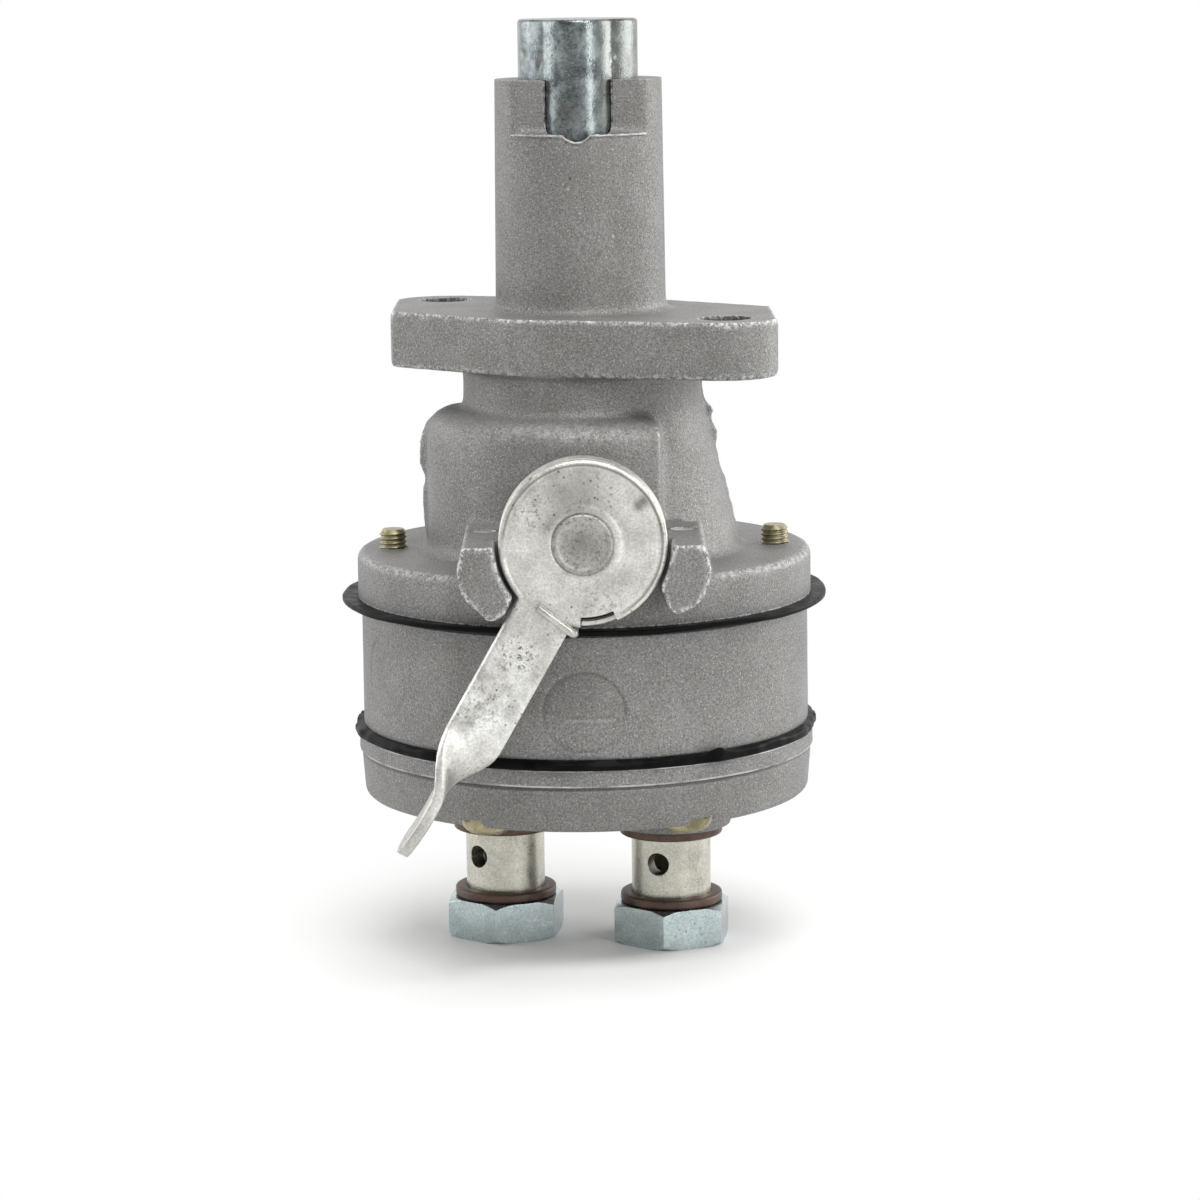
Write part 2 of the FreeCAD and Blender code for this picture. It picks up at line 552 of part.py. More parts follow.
def pump_housing():
    """The cast housing: tappet tube, mounting flange, neck, cone, shaft block and base flange."""
    tube = cone("tube", "tube_base_radius", "tube_top_radius", "0", "tube_rise")
    plate, holes = mounting_flange()
    plate = made("mounting_plate", plate)
    neck = cylinder("neck", "neck_radius", "-neck_depth", "-flange_thickness / 2")
    body_cone = cone("body_cone", "cone_foot_radius", "cone_top_radius", "base_top", "-neck_depth")
    drum = cylinder("block_drum", "block_radius", "base_top", "block_top")
    sector = box("block_sector", ("-base_radius", "block_right"), ("-base_radius", "block_back"),
                 ("base_top", "block_top"))
    block = shared("block_blank", drum, sector)
    base = cylinder("base_blank", "base_radius", "base_under", "base_top")
    doc.recompute()
    top_of_block, top_of_base = size("block_top"), size("base_top")
    block_round, base_round = size("block_round"), size("base_round")
    block = made("block", round_edges(block.Shape, block_round, lambda edge: same_level(edge, top_of_block)))
    base = made("base_flange", round_edges(base.Shape, base_round,
                                           lambda edge: same_level(edge, top_of_base)))
    boss = front_cylinder("shaft_boss", "boss_radius", "inner_boss_reach", "boss_reach", "shaft_level")
    ears = [made("ear_left", ear(-1)), made("ear_right", ear(1))]
    solid = joined("housing_solid", tube, plate, neck, body_cone, block, base, boss, *ears)

    chamber = turned("rod_chamber", [
        ("0", "roof"),
        ("roof_radius", "roof"),
        ("shoulder_radius", "base_top"),
        ("chamber_radius", "base_top - base_thickness / 2"),
        ("chamber_radius", "base_under - past"),
        ("0", "base_under - past"),
    ])
    inner_boss = front_cylinder("inner_boss_room", "inner_boss_radius", "inner_boss_reach",
                                "block_radius", "shaft_level")
    chamber = cut("chamber_room", chamber, inner_boss)
    tappet_bore = cylinder("tappet_bore", "bore_radius", "-bore_depth", "tube_rise + past")
    groove = cylinder("rib_groove", "rib_radius + groove_gap", "groove_foot", "tube_rise + past",
                      y="-rib_reach")
    flat = box("milled_flat", ("-tube_base_radius", "tube_base_radius"),
               ("-tube_base_radius - past", "-flat_reach"), ("ledge", "tube_rise + past"))
    dip = front_cylinder("ledge_dip", "dip_radius", "rib_reach", "tube_base_radius + past",
                         "ledge + dip_radius - dip_depth")
    seal_pocket = cylinder("seal_pocket", "seal_radius", "-bore_depth - seal_depth", "0")
    guide = cylinder("rod_guide", "rod_radius + running_gap", "roof - past", "0")
    circlip_room = front_cylinder("circlip_room", "circlip_radius + circlip_room_gap", "shaft_inner_reach",
                                  "inner_boss_reach", "shaft_level")
    shaft_bore = front_cylinder("shaft_bore", "shaft_radius + running_gap", "shaft_inner_reach",
                                "boss_reach + past", "shaft_level")
    anchor = front_cylinder("spring_anchor", "torsion_wire / 2 + anchor_gap",
                            "block_radius - torsion_anchor - lift_gap", "block_radius + past",
                            "shaft_level + torsion_coil_radius")
    past = size("past")
    bolt_holes = upright_holes("mounting_holes", "bolt_hole_radius", size("flange_under") - past,
                               past, holes)
    front_screws = screw_places()[4:]
    rear_screws = screw_places()[:4]
    below = size("base_under") - past
    taps = upright_holes("through_taps", "screw_tap_radius", below, size("base_top") + past, rear_screws)
    ear_taps = upright_holes("ear_taps", "screw_tap_radius", below, size("ear_tap_end"), front_screws)
    ear_drills = upright_holes("ear_drills", "ear_drill_radius", below, size("ear_top") + past,
                               front_screws)
    return cut("pump_housing", solid, chamber, tappet_bore, groove, flat, dip, seal_pocket, guide,
               circlip_room, shaft_bore, anchor, bolt_holes, taps, ear_taps, ear_drills)


def tappet():
    """The plated steel tappet: a cup open at the bottom, with a round rib that stops it turning."""
    shell = turned("tappet_shell", [
        ("0", "tappet_top"),
        ("tappet_radius - tappet_bevel", "tappet_top"),
        ("tappet_radius", "tappet_top - tappet_bevel"),
        ("tappet_radius", "tappet_foot"),
        ("tappet_radius - tappet_wall", "tappet_foot"),
        ("tappet_radius - tappet_wall", "crown_under"),
        ("0", "crown_under"),
    ])
    rib = cylinder("tappet_rib", "rib_radius", "rib_foot", "tappet_top - tappet_bevel", y="-rib_reach")
    hollow = cylinder("tappet_hollow", "tappet_radius - tappet_wall / 2", "tappet_foot", "crown_under")
    return joined("tappet", shell, cut("tappet_rib_outside", rib, hollow))


def push_rod():
    """The turned rod from the tappet's spring seat down through the diaphragm."""
    return turned("push_rod", [
        ("0", "rod_top_rise"),
        ("rod_radius", "rod_top_rise"),
        ("rod_radius", "seat_top + clip_thickness"),
        ("clip_groove_radius", "seat_top + clip_thickness"),
        ("clip_groove_radius", "seat_top"),
        ("rod_radius", "seat_top"),
        ("rod_radius", "roof - lift_gap"),
        ("rod_waist_radius", "roof - lift_gap"),
        ("rod_waist_radius", "collar_top"),
        ("rod_collar_radius", "collar_top"),
        ("rod_collar_radius", "collar_under"),
        ("rod_waist_radius", "collar_under"),
        ("rod_waist_radius", "plate_top"),
        ("rod_radius", "plate_top"),
        ("rod_radius", "rod_foot"),
        ("0", "rod_foot"),
    ])


def ring(name, bore, radius, low, high):
    """A plain ring turned about the middle."""
    return turned(name, [(bore, low), (radius, low), (radius, high), (bore, high)])


def plate(name, radius, low, high, lip):
    """A diaphragm plate with its outer edge turned away from the rubber."""
    bore = "rod_radius + seat_gap"
    way = " + plate_lip" if lip == "up" else " - plate_lip"
    inner = radius + " - plate_lip"
    return turned(name, [(bore, low), (inner, low), (radius, low + way), (radius, high + way), (inner, high),
                         (bore, high)])


def diaphragm():
    """The rubber diaphragm, clamped between the castings, with its screw holes and rod hole."""
    blank = ring("diaphragm_blank", "rod_radius + seat_gap", "diaphragm_radius",
                 "diaphragm_under", "base_under")
    holes = upright_holes("diaphragm_holes", "screw_hole_radius", size("diaphragm_under") - size("past"),
                          size("base_under") + size("past"), screw_places())
    return cut("diaphragm", blank, holes)


def valve_body():
    """The cast middle section: pump chamber above, a valve pocket on each side."""
    blank = cone("valve_body_blank", "body_foot_radius", "body_radius", "body_under", "diaphragm_under")
    chamber = cylinder("pump_chamber", "chamber_radius", "chamber_floor", "diaphragm_under + past")
    nut_pocket = cylinder("nut_pocket", "nut_pocket_radius", "chamber_floor - nut_pocket_depth",
                          "chamber_floor + past")
    holes = upright_holes("valve_body_holes", "screw_hole_radius", size("body_under") - size("past"),
                          size("diaphragm_under") + size("past"), screw_places())
    inlet = cylinder("inlet_pocket", "valve_pocket_radius", "inlet_shoulder", "chamber_floor + past",
                     x="-valve_reach")
    inlet_bore = cylinder("inlet_bore", "valve_bore_radius", "body_under - past", "chamber_floor + past",
                          x="-valve_reach")
    outlet = cylinder("outlet_pocket", "valve_pocket_radius", "body_under - past", "outlet_shoulder",
                      x="valve_reach")
    outlet_bore = cylinder("outlet_bore", "valve_bore_radius", "body_under - past", "chamber_floor + past",
                           x="valve_reach")
    level = "diaphragm_under - mark_drop"
    outer_rim = front_cylinder("mark_rim", "mark_radius", "body_foot_radius - mark_groove",
                               "body_radius + past", level)
    inner_rim = front_cylinder("mark_face", "mark_radius - mark_groove", "body_foot_radius - past",
                               "body_radius + 2 * past", level)
    mark = cut("mark_ring", outer_rim, inner_rim)
    return cut("valve_body", blank, chamber, nut_pocket, holes, inlet, inlet_bore, outlet, outlet_bore,
               mark)


def cover_gasket():
    """The rubber gasket under the valve body, open over both galleries."""
    blank = cylinder("gasket_blank", "gasket_radius", "gasket_under", "body_under")
    holes = upright_holes("gasket_holes", "screw_hole_radius", size("gasket_under") - size("past"),
                          size("body_under") + size("past"), screw_places())
    window = gallery("gasket_window", "gasket_under - past", "body_under + past")
    return cut("cover_gasket", blank, holes, window)


def gallery(name, low, high):
    """The two half-round galleries, kept apart by a wall."""
    drum = cylinder(name + "_drum", "cavity_radius", low, high)
    wall = box(name + "_wall", ("-cavity_rib / 2", "cavity_rib / 2"),
               ("-cavity_radius - past", "cavity_radius + past"), (low, high))
    return cut(name, drum, wall)


def bottom_cover():
    """The cast bottom cover with its two fuel galleries and their ports."""
    blank = turned("cover_blank", [
        ("0", "gasket_under"),
        ("cover_radius", "gasket_under"),
        ("cover_radius", "rim_under"),
        ("cover_side_radius", "rim_under - cover_step"),
        ("cover_foot_radius", "cover_under"),
        ("0", "cover_under"),
    ])
    doc.recompute()
    foot = size("cover_under")
    blank = made("cover_rounded", round_edges(blank.Shape, size("cover_round"),
                                              lambda edge: same_level(edge, foot)))
    bosses = []
    threads = []
    for name, spot in port_places().items():
        turn = "port_turn"
        across = "port_spread * cos(%s)" % turn
        along = "port_spread * sin(%s)" % turn
        side = "-" if name == "inlet" else ""
        other = "" if name == "inlet" else "-"
        x, y = side + across, other + along
        bosses.append(cylinder(name + "_boss", "port_radius", "port_under", "cavity_floor - past", x=x, y=y))
        threads.append(cylinder(name + "_thread", "port_thread_radius + seat_gap", "port_under - past",
                                "cavity_floor + past", x=x, y=y))
    galleries = gallery("galleries", "cavity_floor", "gasket_under + past")
    holes = upright_holes("cover_holes", "screw_hole_radius", size("cover_under") - size("past"),
                          size("gasket_under") + size("past"), screw_places())
    seats = upright_holes("screw_seats", "screw_seat_radius", size("cover_under") - size("past"),
                          size("screw_seat"), screw_places())
    solid = joined("cover_solid", blank, *bosses)
    return cut("bottom_cover", solid, galleries, holes, seats, *threads)


def cover_screws():
    """Six cover screws with round heads."""
    radius, head, height = size("screw_radius"), size("screw_head_radius"), size("screw_head_height")
    seat, tip = size("screw_seat"), size("screw_tip")
    dome, lead = size("screw_dome"), size("screw_lead")
    slot_width, slot_depth = size("screw_slot_width"), size("screw_slot_depth")
    outline = [V(0, 0, tip), V(radius - lead, 0, tip), V(radius, 0, tip - lead), V(radius, 0, seat),
               V(head, 0, seat), V(head, 0, seat - height + dome)]
    edges = [Part.makeLine(a, b) for a, b in zip(outline, outline[1:])]
    low = V(0, 0, seat - height)
    crown_radius = (head * head + dome * dome) / (2 * dome)
    sag = crown_radius - math.sqrt(crown_radius * crown_radius - head * head / 4)
    edges.append(Part.Arc(outline[-1], low + V(head / 2, 0, sag), low).toShape())
    edges.append(Part.makeLine(low, outline[0]))
    screw = Part.Face(Part.Wire(edges)).revolve(V(0, 0, 0), UP, 360)
    slot = Part.makeBox(slot_width, 2 * head, slot_depth, V(-slot_width / 2, -head, seat - height))
    screw = screw.cut(slot)
    solids = []
    for spot in screw_places():
        one = screw.copy()
        one.translate(spot)
        solids.append(one)
    return made("cover_screws", Part.makeCompound(solids))


def banjo_bolt(name, spot):
    """A hollow banjo bolt: hexagon head, bare shank with two cross holes, thread into the port."""
    flats, height = size("hex_flats"), size("hex_height")
    radius = size("port_thread_radius")
    head_top, head_under = size("head_top"), size("head_under")
    top = size("port_under") + size("shank_entry")
    hexagonal = hexagon(flats, height, 0, size("hex_turn"))
    hexagonal.translate(UP * head_under)
    bevel = size("hex_bevel")
    narrow = flats / math.sqrt(3) - bevel
    wide = narrow + height
    rise = height * math.tan(math.radians(size("hex_slope")))
    bevel_top = Part.makeCone(wide, narrow, rise, V(0, 0, head_top - rise), UP)
    bevel_low = Part.makeCone(narrow, wide, rise, V(0, 0, head_under), UP)
    middle = Part.makeCylinder(wide, height - 2 * bevel, V(0, 0, head_under + bevel), UP)
    hexagonal = hexagonal.common(bevel_top.fuse([bevel_low, middle]))
    lead = size("shank_lead")
    shank = Part.makeCylinder(radius, top - lead - head_top, V(0, 0, head_top), UP)
    tip = Part.makeCone(radius, radius - lead, lead, V(0, 0, top - lead), UP)
    bolt = hexagonal.fuse([shank, tip]).removeSplitter()
    cross = size("upper_washer_under") - size("cross_hole_drop")
    bore_floor = cross - size("cross_hole_radius") - size("shank_bore_end")
    bore = Part.makeCylinder(size("shank_bore_radius"), top - bore_floor + size("past"),
                             V(0, 0, bore_floor), UP)
    tools = [bore]
    for turn in (0, 90):
        angle = math.radians(-90 - size(name + "_cross_turn") + turn)
        way = V(math.cos(angle), math.sin(angle), 0)
        tools.append(Part.makeCylinder(size("cross_hole_radius"), 4 * radius,
                                       way * (-2 * radius) + UP * cross, way))
    bolt = bolt.cut(tools)
    bolt.translate(spot)
    return made(name + "_banjo_bolt", bolt)


def washers():
    """Four sealing washers, above and below each bare shank."""
    pieces = []
    for name, spot in port_places().items():
        for place_name, low in (("upper", "upper_washer_under"), ("lower", "head_top")):
            bottom = size(low)
            outer = Part.makeCylinder(size("washer_radius"), size("washer_thickness"), spot + UP * bottom, UP)
            hole = Part.makeCylinder(size("port_thread_radius") + size("running_gap"),
                                     size("washer_thickness"), spot + UP * bottom, UP)
            pieces.append(made("%s_%s_washer" % (name, place_name), outer.cut(hole)))
    return pieces


def seen_from_front(point_right, point_up, reach):
    """A point given to the right of and above the priming shaft, at a reach in front of the axis."""
    return V(point_right, -reach, size("shaft_level") + point_up)


def priming_shaft():
    """The priming shaft: riveted to the lever in front, with an eccentric pin at its inner end."""
    inner, back, front = size("shaft_inner_reach"), size("lever_reach"), size("lever_front")
    radius, clip_radius = size("shaft_radius"), size("circlip_groove_radius")
    ring_radius = size("shaft_radius") - size("ring_wire") + running()
    clip_far = size("inner_boss_reach") - running() / 2
    clip_near = clip_far - size("circlip_thickness") - running() / 2
    ring_near = size("ring_reach") - size("ring_groove") / 2
    ring_far = ring_near + size("ring_groove")
    neck, head, bevel = size("rivet_neck_radius"), size("rivet_radius"), size("rivet_bevel")
    end = front + size("rivet_height")
    sink = end - size("rivet_sink")
    rim = head - size("rivet_rim")
    stations = [
        (inner, 0), (inner, radius), (clip_near, radius), (clip_near, clip_radius), (clip_far, clip_radius),
        (clip_far, radius), (ring_near, radius), (ring_near, ring_radius), (ring_far, ring_radius),
        (ring_far, radius), (back, radius), (back, neck), (front, neck), (front, head), (end - bevel, head),
        (end, head - bevel), (end, rim), (sink, rim - bevel), (sink, 0), (inner, 0),
    ]
    points = [V(r, -reach, 0) for reach, r in stations]
    shaft = Part.Face(Part.makePolygon(points)).revolve(V(0, 0, 0), BACK, 360)
    shaft.translate(UP * size("shaft_level"))
    turn = math.radians(size("pin_turn"))
    offset = size("pin_offset")
    root = seen_from_front(-offset * math.sin(turn), offset * math.cos(turn), inner)
    pin = Part.makeCylinder(size("pin_radius"), size("pin_length"), root, BACK)
    return made("priming_shaft", shaft.fuse(pin).removeSplitter())


def running():
    """The radial play of a sliding fit."""
    return size("running_gap")


def shaft_ring():
    """The o-ring that seals the priming shaft."""
    section = size("ring_wire") / 2
    middle = size("shaft_radius") + running() - section - size("seat_gap") / 2
    torus = Part.makeTorus(middle, section, seen_from_front(0, 0, size("ring_reach")), FRONT)
    return made("shaft_o_ring", torus)


def shaft_circlip():
    """The open circlip that keeps the priming shaft in its boss."""
    reach = size("inner_boss_reach") - size("circlip_thickness") - running() / 2
    thickness = size("circlip_thickness")
    start = seen_from_front(0, 0, reach)
    outer = Part.makeCylinder(size("circlip_radius"), thickness, start, FRONT)
    bore = Part.makeCylinder(size("circlip_groove_radius") + size("seat_gap"), thickness, start, FRONT)
    opening = size("circlip_opening")
    gap = Part.makeBox(opening, thickness, 2 * size("circlip_radius"),
                       start + V(-opening / 2, -thickness, 0))
    return made("shaft_circlip", outer.cut([bore, gap]))


def arm_frame(turn_of_sheet):
    """The arm's direction, and the sheet's width and thickness directions after a twist in degrees."""
    lean = math.radians(size("arm_turn"))
    along = V(-math.sin(lean), 0, -math.cos(lean))
    flat_width = V(math.cos(lean), 0, -math.sin(lean))
    twist = math.radians(turn_of_sheet)
    width = flat_width * math.cos(twist) + BACK * math.sin(twist)
    thick = along.cross(width)
    return along, width, thick


def primer_lever():
    """The priming lever: a disc and an arm from one plated sheet, its end twisted into a thumb tab."""
    thickness, reach = size("sheet_thickness"), size("lever_reach")
    middle = reach + thickness / 2
    pivot = seen_from_front(0, 0, middle)
    along, width, thick = arm_frame(0)
    half = size("arm_width") / 2
    disc = Part.makeCylinder(size("disc_radius"), thickness, seen_from_front(0, 0, reach), FRONT)
    disc = round_edges(disc, size("disc_round"),
                       lambda edge: edge.BoundBox.YLength < 1e-6 and edge.BoundBox.YMin < -middle)
    root_distance = size("disc_radius") / 2
    start = pivot + along * root_distance
    root = Part.Face(Part.makePolygon([
        start - width * half - thick * (thickness / 2),
        start + width * half - thick * (thickness / 2),
        start + width * half + thick * (thickness / 2),
        start - width * half + thick * (thickness / 2),
        start - width * half - thick * (thickness / 2),
    ]))
    arm = root.extrude(along * (size("arm_flat_end") - root_distance))
    rings = []
    steps = 8
    for k in range(steps + 1):
        share = k / steps
        distance = size("arm_flat_end") + share * (size("arm_twist_end") - size("arm_flat_end"))
        along, width, thick = arm_frame(90 * share)
        centre = pivot + along * distance
        corners = [centre + width * (a * half) + thick * (b * thickness / 2)
                   for a, b in ((-1, -1), (1, -1), (1, 1), (-1, 1))]
        rings.append(Part.makePolygon(corners + [corners[0]]))
    twist = Part.makeLoft(rings, True, True, False)
    along, width, thick = arm_frame(90)
    corner_round = size("arm_end_round")
    tab_start, tab_end = size("arm_twist_end"), size("arm_end")
    centre = pivot - thick * (thickness / 2)
    low_side, high_side = width * -half, width * half
    inward = along * (tab_end - corner_round)
    diagonal = corner_round * (1 - math.sqrt(0.5))
    edges = [
        Part.makeLine(centre + along * tab_start + low_side, centre + inward + low_side),
        Part.Arc(centre + inward + low_side,
                 centre + along * (tab_end - diagonal) + width * (diagonal - half),
                 centre + along * tab_end + width * (corner_round - half)).toShape(),
        Part.makeLine(centre + along * tab_end + width * (corner_round - half),
                      centre + along * tab_end + width * (half - corner_round)),
        Part.Arc(centre + along * tab_end + width * (half - corner_round),
                 centre + along * (tab_end - diagonal) + width * (half - diagonal),
                 centre + inward + high_side).toShape(),
        Part.makeLine(centre + inward + high_side, centre + along * tab_start + high_side),
        Part.makeLine(centre + along * tab_start + high_side, centre + along * tab_start + low_side),
    ]
    tab = Part.Face(Part.Wire(edges)).extrude(thick * thickness)
    lever = disc.fuse([arm, twist, tab]).removeSplitter()
    near, through = reach - size("past"), thickness + 2 * size("past")
    bore = Part.makeCylinder(size("rivet_neck_radius") + size("seat_gap"), through,
                             seen_from_front(0, 0, near), FRONT)
    return made("primer_lever", lever.cut([bore, hook_notch(near, through)]))


def hook_notch(reach, depth):
    """The notch beside the arm's root, where the spring's hook comes through."""
    along, width, thick = arm_frame(0)
    start = seen_from_front(0, 0, reach)
    near, side = size("disc_radius") - size("notch_depth"), size("arm_width") / 2
    far, wide = near + size("notch_length"), side + size("notch_width")
    corners = [start + along * near + width * side, start + along * near + width * wide,
               start + along * far + width * wide, start + along * far + width * side]
    return Part.Face(Part.makePolygon(corners + [corners[0]])).extrude(FRONT * depth)


def spring_cup():
    """The pressed cup behind the lever's disc that covers the lever spring."""
    reach, wall, depth = size("lever_reach"), size("cup_wall"), size("cup_depth")
    radius = size("disc_radius")
    outer = Part.makeCylinder(radius, depth, seen_from_front(0, 0, reach - depth), FRONT)
    hollow = Part.makeCylinder(radius - wall, depth - wall, seen_from_front(0, 0, reach - depth), FRONT)
    bore = Part.makeCylinder(size("shaft_radius") + size("seat_gap"), depth,
                             seen_from_front(0, 0, reach - depth), FRONT)
    way = hook_way()
    half = size("cup_slot") / 2
    side = V(-way.z, 0, way.x)
    start = seen_from_front(0, 0, reach - depth)
    near, far = radius - size("cup_slot_depth"), radius + size("past")
    corners = [start + side * half + way * near, start + side * half + way * far,
               start - side * half + way * far, start - side * half + way * near]
    slot = Part.Face(Part.makePolygon(corners + [corners[0]])).extrude(FRONT * depth)
    return made("spring_cup", outer.cut([hollow, bore, slot]))


def hook_way():
    """Where the hook's leg leaves the coil, seen from the shaft: just past the arm's right edge."""
    along, width, thick = arm_frame(0)
    reach = size("hook_radius")
    side = size("arm_width") / 2 + size("torsion_wire") / 2 + size("hook_gap")
    return (along * math.sqrt(reach * reach - side * side) + width * side).normalize()


def lever_spring():
    """The torsion spring round the boss, one leg in the block and one hooked over the arm."""
    wire, mean = size("torsion_wire"), size("torsion_coil_radius")
    way = hook_way()
    start_angle = math.atan2(way.z, way.x)
    front_reach = size("lever_reach") - size("cup_wall") - wire / 2 - running()
    turns = 1 + (math.pi / 2 - start_angle) / (2 * math.pi)
    pitch = wire + running()
    across = size("lever_front") + wire / 2 + running()
    along, width, thick = arm_frame(0)
    bend, per_turn = size("hook_bend"), 16
    hook_root = seen_from_front(0, 0, 0) + way * size("hook_radius")
    route = [
        hook_root + FRONT * across - width * size("hook_length"),
        hook_root + FRONT * across - width * bend,
        hook_root + FRONT * (across - bend),
        hook_root + FRONT * (front_reach + bend),
        hook_root + FRONT * front_reach - way * bend,
    ]
    steps = int(round(turns * per_turn))
    for k in range(steps + 1):
        angle = start_angle + k / steps * (turns * 2 * math.pi)
        route.append(seen_from_front(mean * math.cos(angle), mean * math.sin(angle),
                                     front_reach - pitch * turns * k / steps))
    last = route[-1]
    for reach in (size("block_radius") + wire, size("block_radius") - size("torsion_anchor")):
        route.append(V(last.x, -reach, size("shaft_level") + mean))
    return made("lever_spring", bent_wire(route, wire))


def bent_wire(route, wire, sides=6):
    """A wire that follows a route of points, as one solid of ruled faces."""
    radius = wire / 2 / math.sqrt(math.sin(2 * math.pi / sides) * sides / (2 * math.pi))
    up_hint = None
    rings = []
    for k, point in enumerate(route):
        before = route[max(k - 1, 0)]
        after = route[min(k + 1, len(route) - 1)]
        way_in = (point - before).normalize() if k else (after - point).normalize()
        way_out = (after - point).normalize() if k < len(route) - 1 else way_in
        tangent = (way_in + way_out).normalize()
        if up_hint is None:
            up_hint = tangent.cross(V(0.2, 0.9, 0.4)).normalize()
        side = (up_hint - tangent * up_hint.dot(tangent)).normalize()
        other = tangent.cross(side)
        up_hint = side
        ring_points = [point + side * (radius * math.cos(b)) + other * (radius * math.sin(b))
                       for b in (2 * math.pi * j / sides for j in range(sides))]
        rings.append(Part.makePolygon(ring_points + [ring_points[0]]))
    return Part.makeLoft(rings, True, True, False)


def tappet_springs():
    """The pressure spring inside the tappet and the return spring under its seat."""
    wire = size("pressure_wire")
    low, high = size("seat_top"), size("crown_under")
    pressure = coil(size("pressure_coil_radius"), wire, size("pressure_turns"), high - low - wire)
    pressure.translate(UP * (low + wire / 2))
    wire = size("return_wire")
    low, high = -size("bore_depth"), size("spring_seat_rise")
    returning = coil(size("return_coil_radius"), wire, size("return_turns"), high - low - wire)
    returning.translate(UP * (low + wire / 2))
    return [made("pressure_spring", pressure), made("return_spring", returning)]


def rod_clip():
    """The clip that holds the spring seat on the rod."""
    low, thickness = size("seat_top"), size("clip_thickness")
    outer = Part.makeCylinder(size("clip_radius"), thickness, UP * low, UP)
    bore = Part.makeCylinder(size("clip_groove_radius") + size("seat_gap"), thickness, UP * low, UP)
    opening = size("clip_opening")
    gap = Part.makeBox(2 * size("clip_radius"), opening, thickness, V(0, -opening / 2, low))
    return made("rod_clip", outer.cut([bore, gap]))


def rod_nut():
    """The nut that clamps the plates and the diaphragm on the rod."""
    nut = hexagon(size("rod_nut_flats"), size("rod_nut_height"), size("rod_radius") + size("seat_gap"), 0)
    nut.translate(UP * size("rod_nut_under"))
    return made("rod_nut", nut)


def valve(side):
    """One spring-loaded flap valve: seat, disc, spring and cage, the outlet's upside down."""
    x = -size("valve_reach") if side == "inlet" else size("valve_reach")
    if side == "inlet":
        stand = FreeCAD.Placement(V(x, 0, size("inlet_shoulder")), FreeCAD.Rotation())
    else:
        stand = FreeCAD.Placement(V(x, 0, size("outlet_shoulder")), FreeCAD.Rotation(BACK, 180))
    fitted = size("valve_pocket_radius") - size("seat_gap")
    bore, seat_height = size("valve_seat_bore"), size("valve_seat_height")
    lip, lip_height = size("valve_lip_width"), size("valve_lip_height")
    lip_top = seat_height + lip_height
    profile = [V(bore, 0, 0), V(fitted, 0, 0), V(fitted, 0, seat_height), V(bore + lip, 0, seat_height),
               V(bore + lip / 2, 0, lip_top), V(bore, 0, lip_top), V(bore, 0, 0)]
    seat = Part.Face(Part.makePolygon(profile)).revolve(V(0, 0, 0), UP, 360)
    thickness = size("valve_disc_thickness")
    disc = Part.makeCylinder(size("valve_disc_radius"), thickness, UP * lip_top, UP)
    wall, height = size("valve_cage_wall"), size("valve_cage_height")
    cage = Part.makeCylinder(fitted, height, UP * seat_height, UP)
    room = Part.makeCylinder(fitted - wall, height - wall, UP * seat_height, UP)
    roof = seat_height + height - wall
    holes = [room]
    for k in range(4):
        way = V(math.cos(math.pi / 2 * k), math.sin(math.pi / 2 * k), 0)
        spot = way * ((size("valve_coil_radius") + fitted - wall + size("valve_wire")) / 2)
        holes.append(Part.makeCylinder(size("valve_cage_hole"), 3 * wall, spot + UP * (roof - wall), UP))
    cage = cage.cut(holes)
    wire = size("valve_wire")
    disc_top = lip_top + thickness
    spring = coil(size("valve_coil_radius"), wire, size("valve_turns"), roof - disc_top - wire)
    spring.translate(UP * (disc_top + wire / 2))
    pieces = []
    for name, shape in (("valve_seat", seat), ("valve_disc", disc), ("valve_spring", spring),
                        ("valve_cage", cage)):
        thing = made(side + "_" + name, shape)
        thing.Placement = stand
        pieces.append(thing)
    return pieces


def every_node():
    """Each separate piece of the pump."""
    nodes = [
        pump_housing(),
        tappet(),
        push_rod(),
        ring("rod_seal", "rod_radius + running_gap", "seal_radius - seat_gap", "-bore_depth - seal_depth",
             "-bore_depth - lift_gap"),
        ring("spring_seat", "rod_radius + seat_gap", "spring_seat_radius", "spring_seat_rise", "seat_top"),
        rod_clip(),
        rod_nut(),
        plate("upper_plate", "upper_plate_radius", "base_under", "plate_top", "up"),
        plate("lower_plate", "lower_plate_radius", "lower_plate_under", "diaphragm_under", "down"),
        diaphragm(),
        valve_body(),
        cover_gasket(),
        bottom_cover(),
        cover_screws(),
        priming_shaft(),
        shaft_ring(),
        shaft_circlip(),
        primer_lever(),
        spring_cup(),
        lever_spring(),
    ]
    nodes += tappet_springs()
    for side, spot in port_places().items():
        nodes += valve(side)
        nodes.append(banjo_bolt(side, spot))
    nodes += washers()
    return nodes


nodes = every_node()
doc.recompute()
for thing in doc.Objects:
    if "Invalid" in thing.State or "Error" in thing.State:
        raise SystemExit("%s failed: %s" % (thing.Label, thing.State))
for node in nodes:
    if node.Shape.isNull() or not node.Shape.isValid():
        raise SystemExit("%s has no valid shape" % node.Label)
os.makedirs("parts", exist_ok=True)
for node in nodes:
    node.Shape.exportStep("parts/%s.step" % node.Label)
    print("%-24s %2d solid(s) %10.1f mm3" % (node.Label, len(node.Shape.Solids), node.Shape.Volume))
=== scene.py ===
import json
import math
import bmesh
import bpy
from mathutils import Matrix, Vector, noise


